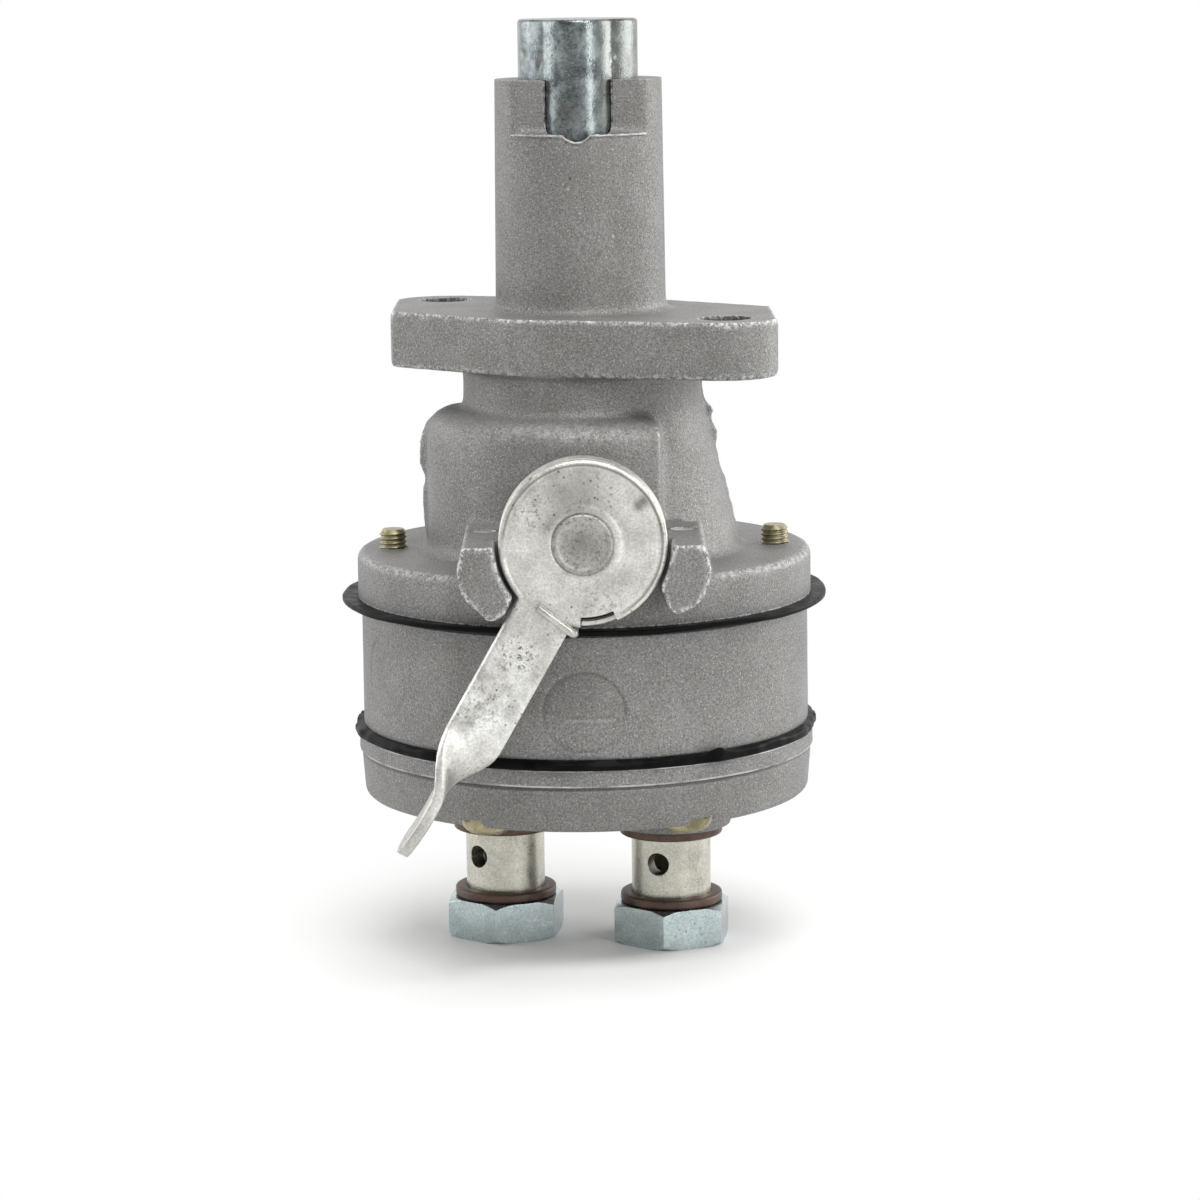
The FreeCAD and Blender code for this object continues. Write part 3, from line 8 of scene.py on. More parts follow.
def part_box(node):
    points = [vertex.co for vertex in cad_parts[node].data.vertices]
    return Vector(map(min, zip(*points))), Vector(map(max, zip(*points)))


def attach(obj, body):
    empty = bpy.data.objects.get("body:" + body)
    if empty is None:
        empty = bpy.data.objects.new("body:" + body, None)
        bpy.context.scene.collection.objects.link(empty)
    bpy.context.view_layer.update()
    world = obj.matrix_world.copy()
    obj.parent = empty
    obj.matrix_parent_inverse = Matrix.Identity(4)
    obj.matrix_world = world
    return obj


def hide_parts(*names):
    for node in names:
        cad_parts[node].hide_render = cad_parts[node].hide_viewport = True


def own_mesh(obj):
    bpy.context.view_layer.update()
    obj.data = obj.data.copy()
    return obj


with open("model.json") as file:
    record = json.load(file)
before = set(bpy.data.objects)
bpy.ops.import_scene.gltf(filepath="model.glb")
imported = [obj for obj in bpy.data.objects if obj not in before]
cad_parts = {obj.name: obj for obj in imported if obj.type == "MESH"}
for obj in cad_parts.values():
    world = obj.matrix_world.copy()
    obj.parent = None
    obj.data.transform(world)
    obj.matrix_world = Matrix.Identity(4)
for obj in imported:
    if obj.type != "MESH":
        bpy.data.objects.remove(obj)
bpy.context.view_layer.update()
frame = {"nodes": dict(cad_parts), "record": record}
MM = 0.001

# The studio: a pale floor under the bolt heads and the camera, which stands in front of the pump,
# a little above its mounting flange, and looks slightly down.
floor_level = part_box("outlet_banjo_bolt")[0][2]
camera_place = Vector((2.70, -666.54, 61.27)) * MM
camera_roll = math.radians(-0.707)
focal_pixels = 3832
photo_width = 1200
forward = Vector((0.0, 0.98599, -0.16682)).normalized()
level_right = forward.cross(Vector((0, 0, 1))).normalized()
level_up = level_right.cross(forward)
right = level_right * math.cos(camera_roll) + level_up * math.sin(camera_roll)
up = level_up * math.cos(camera_roll) - level_right * math.sin(camera_roll)
lens = bpy.data.cameras.new("camera")
lens.sensor_width = 36
lens.lens = lens.sensor_width * focal_pixels / photo_width
lens.clip_start = 0.05
lens.clip_end = 20
camera = bpy.data.objects.new("camera", lens)
turn = Matrix((right, up, -forward)).transposed()
camera.matrix_world = Matrix.Translation(camera_place) @ turn.to_4x4()
bpy.context.scene.collection.objects.link(camera)
bpy.context.scene.camera = camera
bpy.context.scene.view_settings.view_transform = "Standard"

floor_mesh = bpy.data.meshes.new("floor")
floor_half = 4.0
floor_mesh.from_pydata([(x * floor_half, y * floor_half, floor_level)
                        for x, y in ((-1, -1), (1, -1), (1, 1), (-1, 1))], [], [(0, 1, 2, 3)])
floor = bpy.data.objects.new("floor", floor_mesh)
bpy.context.scene.collection.objects.link(floor)


def new_material(name, metallic=0.0, roughness=0.5):
    """A material and its Principled BSDF, with the constant sockets set directly."""
    material = bpy.data.materials.new(name)
    material.use_nodes = True
    shader = material.node_tree.nodes["Principled BSDF"]
    shader.inputs["Metallic"].default_value = metallic
    shader.inputs["Roughness"].default_value = roughness
    return material, shader


floor_material, floor_shader = new_material("pale_floor", roughness=0.6)
floor_shader.inputs["Base Color"].default_value = (0.90, 0.90, 0.89, 1)
floor_shader.inputs["Specular IOR Level"].default_value = 0.2
nodes, links = floor_material.node_tree.nodes, floor_material.node_tree.links
place = nodes.new("ShaderNodeTexCoord")
away = nodes.new("ShaderNodeVectorMath")
away.operation = "DISTANCE"
away.inputs[1].default_value = (0, 0, floor_level)
links.new(place.outputs["Object"], away.inputs[0])
fade = nodes.new("ShaderNodeMapRange")
fade.interpolation_type = "SMOOTHSTEP"
fade.inputs["From Min"].default_value = 0.030
fade.inputs["From Max"].default_value = 0.090
links.new(away.outputs["Value"], fade.inputs["Value"])
white = nodes.new("ShaderNodeEmission")
paper = nodes.new("ShaderNodeMixShader")
links.new(fade.outputs["Result"], paper.inputs[0])
links.new(floor_shader.outputs[0], paper.inputs[1])
links.new(white.outputs[0], paper.inputs[2])
links.new(paper.outputs[0], nodes["Material Output"].inputs["Surface"])
floor_mesh.materials.append(floor_material)

# The light: a white surround that the camera sees. What lights the metal is bright behind and on the
# sides, darker above and towards the front, where the photographer stands. Soft boxes shape it.
world = bpy.data.worlds.new("studio")
bpy.context.scene.world = world
world.use_nodes = True
nodes, links = world.node_tree.nodes, world.node_tree.links
ray = nodes.new("ShaderNodeLightPath")
direction = nodes.new("ShaderNodeTexCoord")
split = nodes.new("ShaderNodeSeparateXYZ")
links.new(direction.outputs["Generated"], split.inputs[0])
surround = nodes.new("ShaderNodeMapRange")
surround.interpolation_type = "SMOOTHSTEP"
for socket, value in (("From Min", -0.95), ("From Max", 0.20), ("To Min", 0.24), ("To Max", 1.10)):
    surround.inputs[socket].default_value = value
links.new(split.outputs["Y"], surround.inputs["Value"])
ceiling = nodes.new("ShaderNodeMapRange")
ceiling.interpolation_type = "SMOOTHSTEP"
for socket, value in (("From Min", 0.25), ("From Max", 0.95), ("To Min", 1.0), ("To Max", 0.55)):
    ceiling.inputs[socket].default_value = value
links.new(split.outputs["Z"], ceiling.inputs["Value"])
lit = nodes.new("ShaderNodeMath")
lit.operation = "MULTIPLY"
links.new(surround.outputs["Result"], lit.inputs[0])
links.new(ceiling.outputs["Result"], lit.inputs[1])
seen = nodes.new("ShaderNodeMath")
seen.operation = "MAXIMUM"
links.new(ray.outputs["Is Camera Ray"], seen.inputs[0])
links.new(ray.outputs["Is Transmission Ray"], seen.inputs[1])
shown = nodes.new("ShaderNodeMix")
shown.data_type = "FLOAT"
shown.inputs["B"].default_value = 1.0
links.new(seen.outputs[0], shown.inputs["Factor"])
links.new(lit.outputs[0], shown.inputs["A"])
links.new(shown.outputs["Result"], nodes["Background"].inputs["Strength"])
nodes["Background"].inputs["Color"].default_value = (1, 1, 1, 1)


def soft_box(name, place, width, height, power):
    """A rectangular lamp that faces the pump."""
    light = bpy.data.lights.new(name, "AREA")
    light.shape = "RECTANGLE"
    light.size, light.size_y = width, height
    light.energy = power
    lamp = bpy.data.objects.new(name, light)
    lamp.location = place
    lamp.rotation_mode = "QUATERNION"
    lamp.rotation_quaternion = (Vector((0, 0, -0.04)) - Vector(place)).to_track_quat("-Z", "Y")
    bpy.context.scene.collection.objects.link(lamp)


soft_box("right_box", (0.86, 0.36, 0.14), 0.6, 0.8, 5.0)
soft_box("left_box", (-0.88, 0.24, 0.15), 0.6, 0.8, 2.2)
soft_box("top_box", (0.05, 0.05, 0.95), 0.7, 0.7, 2.8)
soft_box("front_strip", (0.62, -0.72, 0.16), 0.12, 1.0, 3.0)
soft_box("high_front_box", (0.10, -0.62, 0.85), 0.8, 0.22, 6.0)
soft_box("front_box", (0.10, -1.05, 0.45), 0.9, 0.5, 0.8)


# The pump housing: one aluminium casting with the tappet tube, the slanted flange, the neck and
# cone, the block and boss of the priming shaft, two ears and the base flange. It is blasted all
# over; the tube's front flat, the base face and the holes are machined.
tube_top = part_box("pump_housing")[1][2] / MM
base_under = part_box("pump_housing")[0][2] / MM
base_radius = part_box("pump_housing")[1][0] / MM
base_top = base_under + 8.0
shaft_level = -34.3
flange_turn = math.radians(-40.4)
screw_circle = 33.5
rib_forward, groove_foot = 6.34, 23.4


def corner_round(points, radii, steps=5):
    """An open outline with corners rounded, one radius for each point."""
    result = []
    for k, point in enumerate(points):
        here = Vector(point)
        if radii[k] <= 0:
            result.append(here)
            continue
        before, after = Vector(points[k - 1]) - here, Vector(points[(k + 1) % len(points)]) - here
        reach = min(radii[k] / math.tan(before.angle(after) / 2), 0.49 * before.length, 0.49 * after.length)
        start, end = here + before.normalized() * reach, here + after.normalized() * reach
        for step in range(steps + 1):
            t = step / steps
            result.append(start * (1 - t) ** 2 + here * (2 * t * (1 - t)) + end * t ** 2)
    return result


def lathe(outline, segments=192, axis="Z", centre=(0, 0, 0), shape=None, mesh=None):
    """A closed solid of revolution as a bmesh. The outline is (radius, height) pairs in mm and starts
    and ends on the axis, or closes on itself. With axis Y the height runs forward. shape(radius,
    angle, height) may move a point."""
    mesh = mesh or bmesh.new()
    on_axis = abs(outline[0][0]) < 1e-9
    rings = []
    for radius, height in outline:
        spots = []
        for k in range(1 if abs(radius) < 1e-9 else segments):
            angle = 2 * math.pi * k / segments
            r, h = shape(radius, angle, height) if shape else (radius, height)
            spots.append((r * math.cos(angle), r * math.sin(angle), h))
        if axis == "Y":
            spots = [(x, -z, y) for x, y, z in spots]
        rings.append([mesh.verts.new(Vector((x + centre[0], y + centre[1], z + centre[2])) * MM)
                      for x, y, z in spots])
    pairs = list(zip(rings, rings[1:]))
    if not on_axis:
        pairs.append((rings[-1], rings[0]))
    for a, b in pairs:
        for k in range(segments):
            j = (k + 1) % segments
            if len(a) == 1:
                mesh.faces.new((a[0], b[j], b[k]))
            elif len(b) == 1:
                mesh.faces.new((a[k], a[j], b[0]))
            else:
                mesh.faces.new((a[k], a[j], b[j], b[k]))
    return mesh


def prism(outline, low, high, along="Z", mesh=None):
    """A prism as a bmesh: (a, b) pairs in mm between two levels. Along Y the outline is (x, z) and the
    levels run forward."""
    mesh = mesh or bmesh.new()
    ends = []
    for level in (low, high):
        spots = [(a, b, level) if along == "Z" else (a, -level, b) for a, b in outline]
        ends.append([mesh.verts.new(Vector(spot) * MM) for spot in spots])
    mesh.faces.new(list(reversed(ends[0])))
    mesh.faces.new(ends[1])
    for k in range(len(outline)):
        j = (k + 1) % len(outline)
        mesh.faces.new((ends[0][k], ends[0][j], ends[1][j], ends[1][k]))
    return mesh


def rod(radius, low, high, x=0.0, y=0.0, axis="Z", level=0.0, segments=96):
    """A plain cylinder as a bmesh. With axis Y it runs forward at a level."""
    centre = (x, y, 0) if axis == "Z" else (x, 0, level)
    return lathe([(0, low), (radius, low), (radius, high), (0, high)], segments, axis, centre)


def finished(name, mesh, smooth=True, sharp=None):
    """The object made from a bmesh, with its faces turned outward."""
    bmesh.ops.recalc_face_normals(mesh, faces=mesh.faces)
    data = bpy.data.meshes.new(name)
    mesh.to_mesh(data)
    mesh.free()
    if smooth:
        data.polygons.foreach_set("use_smooth", [True] * len(data.polygons))
    if sharp:
        data.set_sharp_from_angle(angle=math.radians(sharp))
    piece = bpy.data.objects.new(name, data)
    bpy.context.scene.collection.objects.link(piece)
    return piece


def settle(piece, sharp=None):
    """Turns a piece's modifiers into plain mesh."""
    graph = bpy.context.evaluated_depsgraph_get()
    data = bpy.data.meshes.new_from_object(piece.evaluated_get(graph))
    piece.modifiers.clear()
    piece.data = data
    if sharp:
        data.polygons.foreach_set("use_smooth", [True] * len(data.polygons))
        data.set_sharp_from_angle(angle=math.radians(sharp))
    return piece


def combine(piece, operation, *others):
    """Joins closed bmeshes to a piece, or cuts them out of it, one after the other."""
    tools = [finished("tool", other, smooth=False) for other in others]
    for tool in tools:
        step = piece.modifiers.new("step", "BOOLEAN")
        step.operation = operation
        step.solver = "MANIFOLD"
        step.object = tool
    settle(piece)
    for tool in tools:
        bpy.data.objects.remove(tool)
    return piece


def skinned(piece, voxel, rounds):
    """One even skin over a piece's overlapping solids, with softened edges."""
    skin = piece.modifiers.new("skin", "REMESH")
    skin.mode = "VOXEL"
    skin.voxel_size = voxel * MM
    skin.use_smooth_shade = True
    soften = piece.modifiers.new("soften", "SMOOTH")
    soften.factor = 0.5
    soften.iterations = rounds
    return settle(piece)


def mesh_of(piece):
    """The bmesh of a helper object, which goes."""
    mesh = bmesh.new()
    mesh.from_mesh(piece.data)
    bpy.data.objects.remove(piece)
    return mesh


def add_to(mesh, part):
    """Adds one bmesh to another."""
    bmesh.ops.recalc_face_normals(part, faces=part.faces)
    data = bpy.data.meshes.new("part")
    part.to_mesh(data)
    part.free()
    mesh.from_mesh(data)
    bpy.data.meshes.remove(data)


def on_circle(radius, angle):
    """A point on a circle round the pump's axis, the angle in degrees from the right."""
    return radius * math.cos(math.radians(angle)), radius * math.sin(math.radians(angle))


def screw_holes(radius, low, high, segments=48, angles=range(0, 360, 60)):
    """Cutters on the circle of the six cover screws."""
    return [rod(radius, low, high, *on_circle(screw_circle, angle), segments=segments) for angle in angles]


def piece_of(obj, body, nodes, slot, *materials):
    """Says what a new piece moves with, which CAD nodes it stands for and its materials. The slot is not used.
    """
    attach(obj, body)
    if nodes:
        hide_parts(*nodes)
    obj.data.materials.clear()
    for material in materials:
        obj.data.materials.append(material)


def flange_outline():
    """The mounting flange seen from above: two flats, a lug round each bolt hole."""
    along = Vector((math.cos(flange_turn), math.sin(flange_turn)))
    aside = Vector((math.sin(flange_turn), -math.cos(flange_turn)))
    hole, lug, half, far, near = 32.0, 9.0, 22.3, 24.6, 2.6

    def touch(u, v, side):
        return math.atan2(v, u - hole) + side * math.acos(lug / math.hypot(u - hole, v))

    first, last = touch(near, half, -1), touch(far, -half, 1)
    points = []
    for sign in (1, -1):
        points.append(along * (sign * near) + aside * (sign * half))
        for step in range(25):
            angle = first + (last - first) * step / 24
            u, v = hole + lug * math.cos(angle), lug * math.sin(angle)
            points.append(along * (sign * u) + aside * (sign * v))
        points.append(along * (sign * far) - aside * (sign * half))
    return points


def shaft_block():
    """The block: a drum cut off at its right crease and behind."""
    drum = finished("drum", lathe(corner_round([(0, -42.5), (27.3, -42.5), (27.3, -17), (0, -17)],
                                               [0, 0, 4.8, 0])))
    right_side = prism([(13.4, -60), (13.4, -19.4), (13.0, -18.2), (12.0, -17.3), (10.8, -16.5), (10.8, 0),
                        (40, 0), (40, -60)], -40, 40, along="Y")
    back_side = prism([(-40, 9), (40, 9), (40, 40), (-40, 40)], -60, 0)
    return mesh_of(combine(drum, "DIFFERENCE", right_side, back_side))


def mould_line(points, side):
    """The rough line along the silhouette where the two mould halves met. Points are (x, z, reach)."""
    outer = []
    for a, b in zip(points, points[1:]):
        parts = max(1, int(abs(b[1] - a[1]) / 0.45))
        for k in range(parts + (b == points[-1])):
            x, z, reach = (a[i] + (b[i] - a[i]) * k / parts for i in range(3))
            rough = 0.65 + 0.6 * noise.noise(Vector((side * 3.1, z * 0.62, 0.4)))
            rough += 0.35 * noise.noise(Vector((z * 2.3, side * 1.7, 2.2)))
            outer.append((side * (x + reach * max(rough, 0.1)), z))
    inner = [(side * (x - 3), z) for x, z, reach in (points[-1], points[0])]
    return prism(outer + inner, -0.75, 0.75, along="Y")


core = shaft_block()
lathe([(0, -6), (20.9, -6), (20.8, -9.6), (20.7, -12), (20.8, -16.5), (21.5, -18.2), (23.4, -26), (25.4, -34),
       (27.4, -40.8), (29.6, -42.6), (0, -42.6)], mesh=core)
lathe([(0, 15), (9.5, 15), (9.5, 43.2), (0, 43.2)], 96, "Y", (0, 0, shaft_level), mesh=core)
lathe([(0, -44), (36, -44), (36, -42.2), (0, -42.2)], mesh=core)
whole = mesh_of(skinned(finished("core", core), 0.62, 4))
tube = lathe([(0, -4), (16.2, -4), (16.2, -0.5), (15.3, 0.2), (14.95, 0.9), (14.81, 2.0), (14.42, tube_top + 2),
              (0, tube_top + 2)])
ledge = tube_top - 9.2
front_flat = prism([(-20, -20), (20, -20), (20, -9), (-20, -9)], ledge, tube_top + 5)
add_to(whole, mesh_of(combine(finished("tube", tube), "DIFFERENCE", front_flat,
                              rod(2.8, 6, 20, x=-0.4, axis="Y", level=ledge + 1.6))))
prism(flange_outline(), -9.8, 0, mesh=whole)
lathe(corner_round([(0, base_under - 2), (base_radius, base_under - 2), (base_radius, base_top),
                    (0, base_top)], [0, 0, 1.6, 0]), 256, mesh=whole)
ear_top, ear_foot = -34.6, 15.8
for side, ear_low, ear_outer, heel in ((-1, -47.0, 20.5, [(12.9, -45.8), (11.6, -43.0)]),
                                       (1, -46.0, 20.8, [(13.9, -44.9), (12.8, -42.0)])):
    flank = [(ear_outer - 0.7, ear_top), (ear_outer + 0.3, -38.2), (ear_outer - 0.2, -41.8),
             (ear_outer - 1.6, -44.0), (ear_outer - 3.3, -45.3), (ear_foot, ear_low), (14.5, ear_low + 0.2),
             *heel]
    near = [(9.0, ear_top), *flank, (9.0, -42.4)]
    far = [(14.47, ear_top), *flank, (12.75, -41.3), (13.55, -39.6), (14.15, -37.6), (14.45, -35.6)]
    prism([(side * x, z) for x, z in near], 20, 38.5, along="Y", mesh=whole)
    prism([(side * x, z) for x, z in far], 37, 48, along="Y", mesh=whole)
add_to(whole, mould_line([(26.6, -18.9, 0.4), (27.3, -21.5, 1.5), (27.3, -36.5, 1.2), (27.3, -41.6, 0.2)], -1))
add_to(whole, mould_line([(20.8, -10.5, 0.3), (20.8, -15.4, 0.5), (21.2, -16.8, 2.1), (22.2, -21.8, 1.7),
                          (23.2, -24.5, 0.3), (25.2, -33.0, 0.7), (27.2, -40.6, 0.5)], 1))
housing = skinned(finished("housing_casting", whole), 0.62, 3)

chamber = lathe([(0, -22), (15.5, -22), (23, base_top), (28, -45.6), (28, -54), (0, -54)])
chamber = mesh_of(combine(finished("chamber", chamber), "DIFFERENCE",
                          rod(9.0, 20.3, 30, axis="Y", level=shaft_level)))
top_plate = prism([(-30, -30), (30, -30), (30, 30), (-30, 30)], tube_top, tube_top + 9)
under_plate = prism([(-50, -50), (50, -50), (50, 50), (-50, 50)], base_under - 9, base_under)
combine(housing, "DIFFERENCE", top_plate, under_plate, chamber,
        rod(10.4, -6, 60, segments=160), rod(6.2, groove_foot, 60, y=-rib_forward), rod(6.5, -11, 0),
        *[rod(0.32, groove_foot, 60, x, -8.68, segments=24) for x in (-5.72, 5.72)], rod(3.05, -24, 0),
        rod(8.0, 8.5, 20.3, axis="Y", level=shaft_level), rod(5.05, 8.5, 46, axis="Y", level=shaft_level),
        rod(0.9, 24.5, 29, axis="Y", level=shaft_level + 11.3, segments=24),
        *[rod(4.5, -12, 3, *on_circle(32.0, angle)) for angle in (-40.4, 139.6)],
        *screw_holes(2.52, -55, -38, angles=(0, 60, 120, 180)),
        *screw_holes(2.52, -55, -37.5, angles=(240, 300)),
        *screw_holes(2.1, -40, -30, angles=(240, 300)))
settle(housing, sharp=38)


# Its finish: blasted cast aluminium, grey, with grain, painted sparkle, faint patches and bright edges.
def group_of(name, outputs, inputs=()):
    """An empty node group with named sockets."""
    group = bpy.data.node_groups.new(name, "ShaderNodeTree")
    for title, kind, value in inputs:
        socket = group.interface.new_socket(title, in_out="INPUT", socket_type=kind)
        socket.default_value = value
    for title, kind in outputs:
        group.interface.new_socket(title, in_out="OUTPUT", socket_type=kind)
    return group, group.nodes.new("NodeGroupInput"), group.nodes.new("NodeGroupOutput")


def place_in(tree):
    """The piece's own coordinates."""
    place = tree.nodes.get("Place") or tree.nodes.new("ShaderNodeTexCoord")
    place.name = "Place"
    return place.outputs["Object"]


def mottle(tree, scale, detail, roughness=0.5):
    """Cloudy noise, its scale in features per metre."""
    node = tree.nodes.new("ShaderNodeTexNoise")
    tree.links.new(place_in(tree), node.inputs["Vector"])
    for title, value in (("Scale", scale), ("Detail", detail), ("Roughness", roughness)):
        node.inputs[title].default_value = value
    return node.outputs["Fac"]


def cells(tree, scale):
    """The distance from the middle of scattered cells."""
    node = tree.nodes.new("ShaderNodeTexVoronoi")
    tree.links.new(place_in(tree), node.inputs["Vector"])
    node.inputs["Scale"].default_value = scale
    return node.outputs["Distance"]


def ramp(tree, source, low, high, to_low=0.0, to_high=1.0):
    """A clamped change of range."""
    node = tree.nodes.new("ShaderNodeMapRange")
    tree.links.new(source, node.inputs["Value"])
    for title, value in (("From Min", low), ("From Max", high), ("To Min", to_low), ("To Max", to_high)):
        node.inputs[title].default_value = value
    return node.outputs["Result"]


def mixed(tree, factor, a, b, how="MIX"):
    """A mix of two colours; each may be a socket or a plain colour."""
    node = tree.nodes.new("ShaderNodeMix")
    node.data_type = "RGBA"
    node.blend_type = how
    for value, index in ((factor, 0), (a, 6), (b, 7)):
        if isinstance(value, bpy.types.NodeSocket):
            tree.links.new(value, node.inputs[index])
        else:
            node.inputs[index].default_value = value if index == 0 else (*value, 1)
    return node.outputs[2]


def sums(tree, a, b, operation="ADD"):
    """Arithmetic on two sockets or numbers."""
    node = tree.nodes.new("ShaderNodeMath")
    node.operation = operation
    for k, value in enumerate((a, b)):
        if isinstance(value, bpy.types.NodeSocket):
            tree.links.new(value, node.inputs[k])
        else:
            node.inputs[k].default_value = value
    return node.outputs[0]


cast, cast_in, cast_out = group_of("blasted_casting",
                                   [("Color", "NodeSocketColor"), ("Roughness", "NodeSocketFloat"),
                                    ("Normal", "NodeSocketVector")],
                                   [("Tone", "NodeSocketColor", (0.3, 0.3, 0.29, 1)),
                                    ("Dirt_and_shade", "NodeSocketFloat", 0.0), ("Wear_and_highlight", "NodeSocketFloat", 0.0),
                                    ("Ridges", "NodeSocketFloat", 0.0)])


def rounded_edges(tree, radius):
    """The normal with small rounded edges, and a mask of those edges."""
    bevel = tree.nodes.new("ShaderNodeBevel")
    bevel.samples = 4
    bevel.inputs["Radius"].default_value = radius * MM
    plain = tree.nodes.new("ShaderNodeNewGeometry")
    same = tree.nodes.new("ShaderNodeVectorMath")
    same.operation = "DOT_PRODUCT"
    tree.links.new(bevel.outputs[0], same.inputs[0])
    tree.links.new(plain.outputs["Normal"], same.inputs[1])
    return bevel.outputs[0], ramp(tree, same.outputs["Value"], 0.985, 0.80)


edge_normal, edge = rounded_edges(cast, 0.22)
grain = mottle(cast, 3100, 2, 0.7)
patch = mottle(cast, 110, 4, 0.55)
stain = mottle(cast, 38, 5, 0.6)
sparkle_specks = cells(cast, 1500)
geometry = cast.nodes.new("ShaderNodeNewGeometry")
bright_wear_and_highlight = sums(cast, ramp(cast, geometry.outputs["Pointiness"], 0.515, 0.550), cast_in.outputs["Ridges"],
            "MULTIPLY")
# Painted shade: hollows and creases, found by pointiness, are darkened nearly to black.
hollow = ramp(cast, geometry.outputs["Pointiness"], 0.48, 0.42)
tone = mixed(cast, 1.0, cast_in.outputs["Tone"], mixed(cast, ramp(cast, grain, 0.30, 0.70), (0.58, 0.58, 0.58),
                                                       (1.44, 1.43, 1.41)), "MULTIPLY")
tone = mixed(cast, 1.0, tone, mixed(cast, ramp(cast, patch, 0.35, 0.65), (0.90, 0.90, 0.90),
                                    (1.08, 1.08, 1.09)), "MULTIPLY")
tone = mixed(cast, ramp(cast, stain, 0.60, 0.74, 0, 0.22), tone, (0.20, 0.185, 0.15))
# Painted glints: tiny pale specks stand for the sparkle of the blasted grain.
tone = mixed(cast, ramp(cast, sparkle_specks, 0.20, 0.08, 0, 0.55), tone, (0.72, 0.72, 0.71))
rubbed = ramp(cast, mottle(cast, 1300, 3, 0.8), 0.46, 0.56)
bright_wear_and_highlight = sums(cast, sums(cast, bright_wear_and_highlight, edge, "MAXIMUM"), rubbed, "MULTIPLY")
# Worn spots and painted highlights from this input turn pale along with the worn edges.
bright_wear_and_highlight = sums(cast, bright_wear_and_highlight, cast_in.outputs["Wear_and_highlight"], "MAXIMUM")
tone = mixed(cast, sums(cast, bright_wear_and_highlight, 0.85, "MULTIPLY"), tone, (0.80, 0.80, 0.79))
tone = mixed(cast, sums(cast, hollow, 0.5, "MULTIPLY"), tone, (0.06, 0.058, 0.052))
# This input darkens both for real dirt and for painted shade.
tone = mixed(cast, cast_in.outputs["Dirt_and_shade"], tone, (0.07, 0.065, 0.058))
cast.links.new(tone, cast_out.inputs["Color"])
cast.links.new(ramp(cast, grain, 0.3, 0.7, 0.62, 0.46), cast_out.inputs["Roughness"])
bump = cast.nodes.new("ShaderNodeBump")
bump.inputs["Strength"].default_value = 0.75
bump.inputs["Distance"].default_value = 0.00012
cast.links.new(grain, bump.inputs["Height"])
cast.links.new(edge_normal, bump.inputs["Normal"])
cast.links.new(bump.outputs["Normal"], cast_out.inputs["Normal"])


def casting_finish(name):
    """The blasted aluminium finish; gives its material and the group node."""
    material, shader = new_material(name, metallic=0.42)
    tree = material.node_tree
    surface = tree.nodes.new("ShaderNodeGroup")
    surface.node_tree = cast
    surface.inputs["Tone"].default_value = (0.222, 0.219, 0.211, 1)
    for output, socket in (("Color", "Base Color"), ("Roughness", "Roughness"), ("Normal", "Normal")):
        tree.links.new(surface.outputs[output], shader.inputs[socket])
    return material, surface


def ball_mask(tree, centre, inner, outer):
    """1 inside a ball about a place in mm, fading to 0 outside it."""
    away = tree.nodes.new("ShaderNodeVectorMath")
    away.operation = "DISTANCE"
    away.inputs[1].default_value = Vector(centre) * MM
    tree.links.new(place_in(tree), away.inputs[0])
    return ramp(tree, away.outputs["Value"], outer * MM, inner * MM)


def band_mask(tree, axis, low, high, soft):
    """1 between two levels along an axis, in mm, fading over a short way."""
    parts = tree.nodes.new("ShaderNodeSeparateXYZ")
    tree.links.new(place_in(tree), parts.inputs[0])
    level = parts.outputs[axis]
    return sums(tree, ramp(tree, level, (low - soft) * MM, low * MM),
                ramp(tree, level, (high + soft) * MM, high * MM), "MULTIPLY")


def strongest(tree, masks):
    """The largest of several masks, each with its strength."""
    result = None
    for mask, strength in masks:
        scaled = sums(tree, mask, strength, "MULTIPLY")
        result = sums(tree, result, scaled, "MAXIMUM") if result else scaled
    return result


def spots(tree, *places):
    """Round spots for strongest. Each has its centre, inner and outer radius in mm, and a strength."""
    return [(ball_mask(tree, place[:3], place[3], place[4]), place[5]) for place in places]


cast_aluminium, surface = casting_finish("cast_aluminium")
housing_aluminium, surface = casting_finish("cast_aluminium_housing")
tree = housing_aluminium.node_tree
ear_hole = [(side * 16.75, -29.0, -36.5) for side in (-1, 1)]
# Painted highlight: a speckled pale band along the rounded shoulder of the block goes in with the wear.
shoulder_highlight = sums(tree, band_mask(tree, "Z", -19.4, -17.8, 1.5), band_mask(tree, "Y", -40, -22.5, 1.0),
                "MULTIPLY")
shoulder_highlight = sums(tree, shoulder_highlight, ramp(tree, mottle(tree, 900, 4), 0.42, 0.62), "MULTIPLY")
bright = spots(tree, (-1.9, -14.7, 21.6, 0.10, 0.42, 0.7), (-2.5, -14.6, 21.4, 0.05, 0.30, 0.5),
               (5.7, -13.5, 13.5, 0.05, 0.35, 0.6), *[(*place, 2.62, 2.80, 1.0) for place in ear_hole])
tree.links.new(strongest(tree, [*bright, (shoulder_highlight, 0.17)]), surface.inputs["Wear_and_highlight"])
tree.links.new(ramp(tree, band_mask(tree, "Z", -60, 15, 6.0), 0, 1, 0.15, 1.0), surface.inputs["Ridges"])
dark = spots(tree, (-1.5, -14.6, 23.4, 0.15, 0.40, 0.9), (-11.2, -9.3, 8.5, 0.15, 0.55, 0.7),
             (-13.8, -4.8, 3.4, 0.3, 0.8, 0.7), (24.4, -20.7, -4.7, 5.9, 6.5, 0.93),
             (-24.4, 20.7, -4.7, 5.9, 6.5, 0.93))
outlines = [(sums(tree, ball_mask(tree, place, 3.15, 3.3), ball_mask(tree, place, 2.84, 2.92),
                  "SUBTRACT"), 0.7) for place in ear_hole]
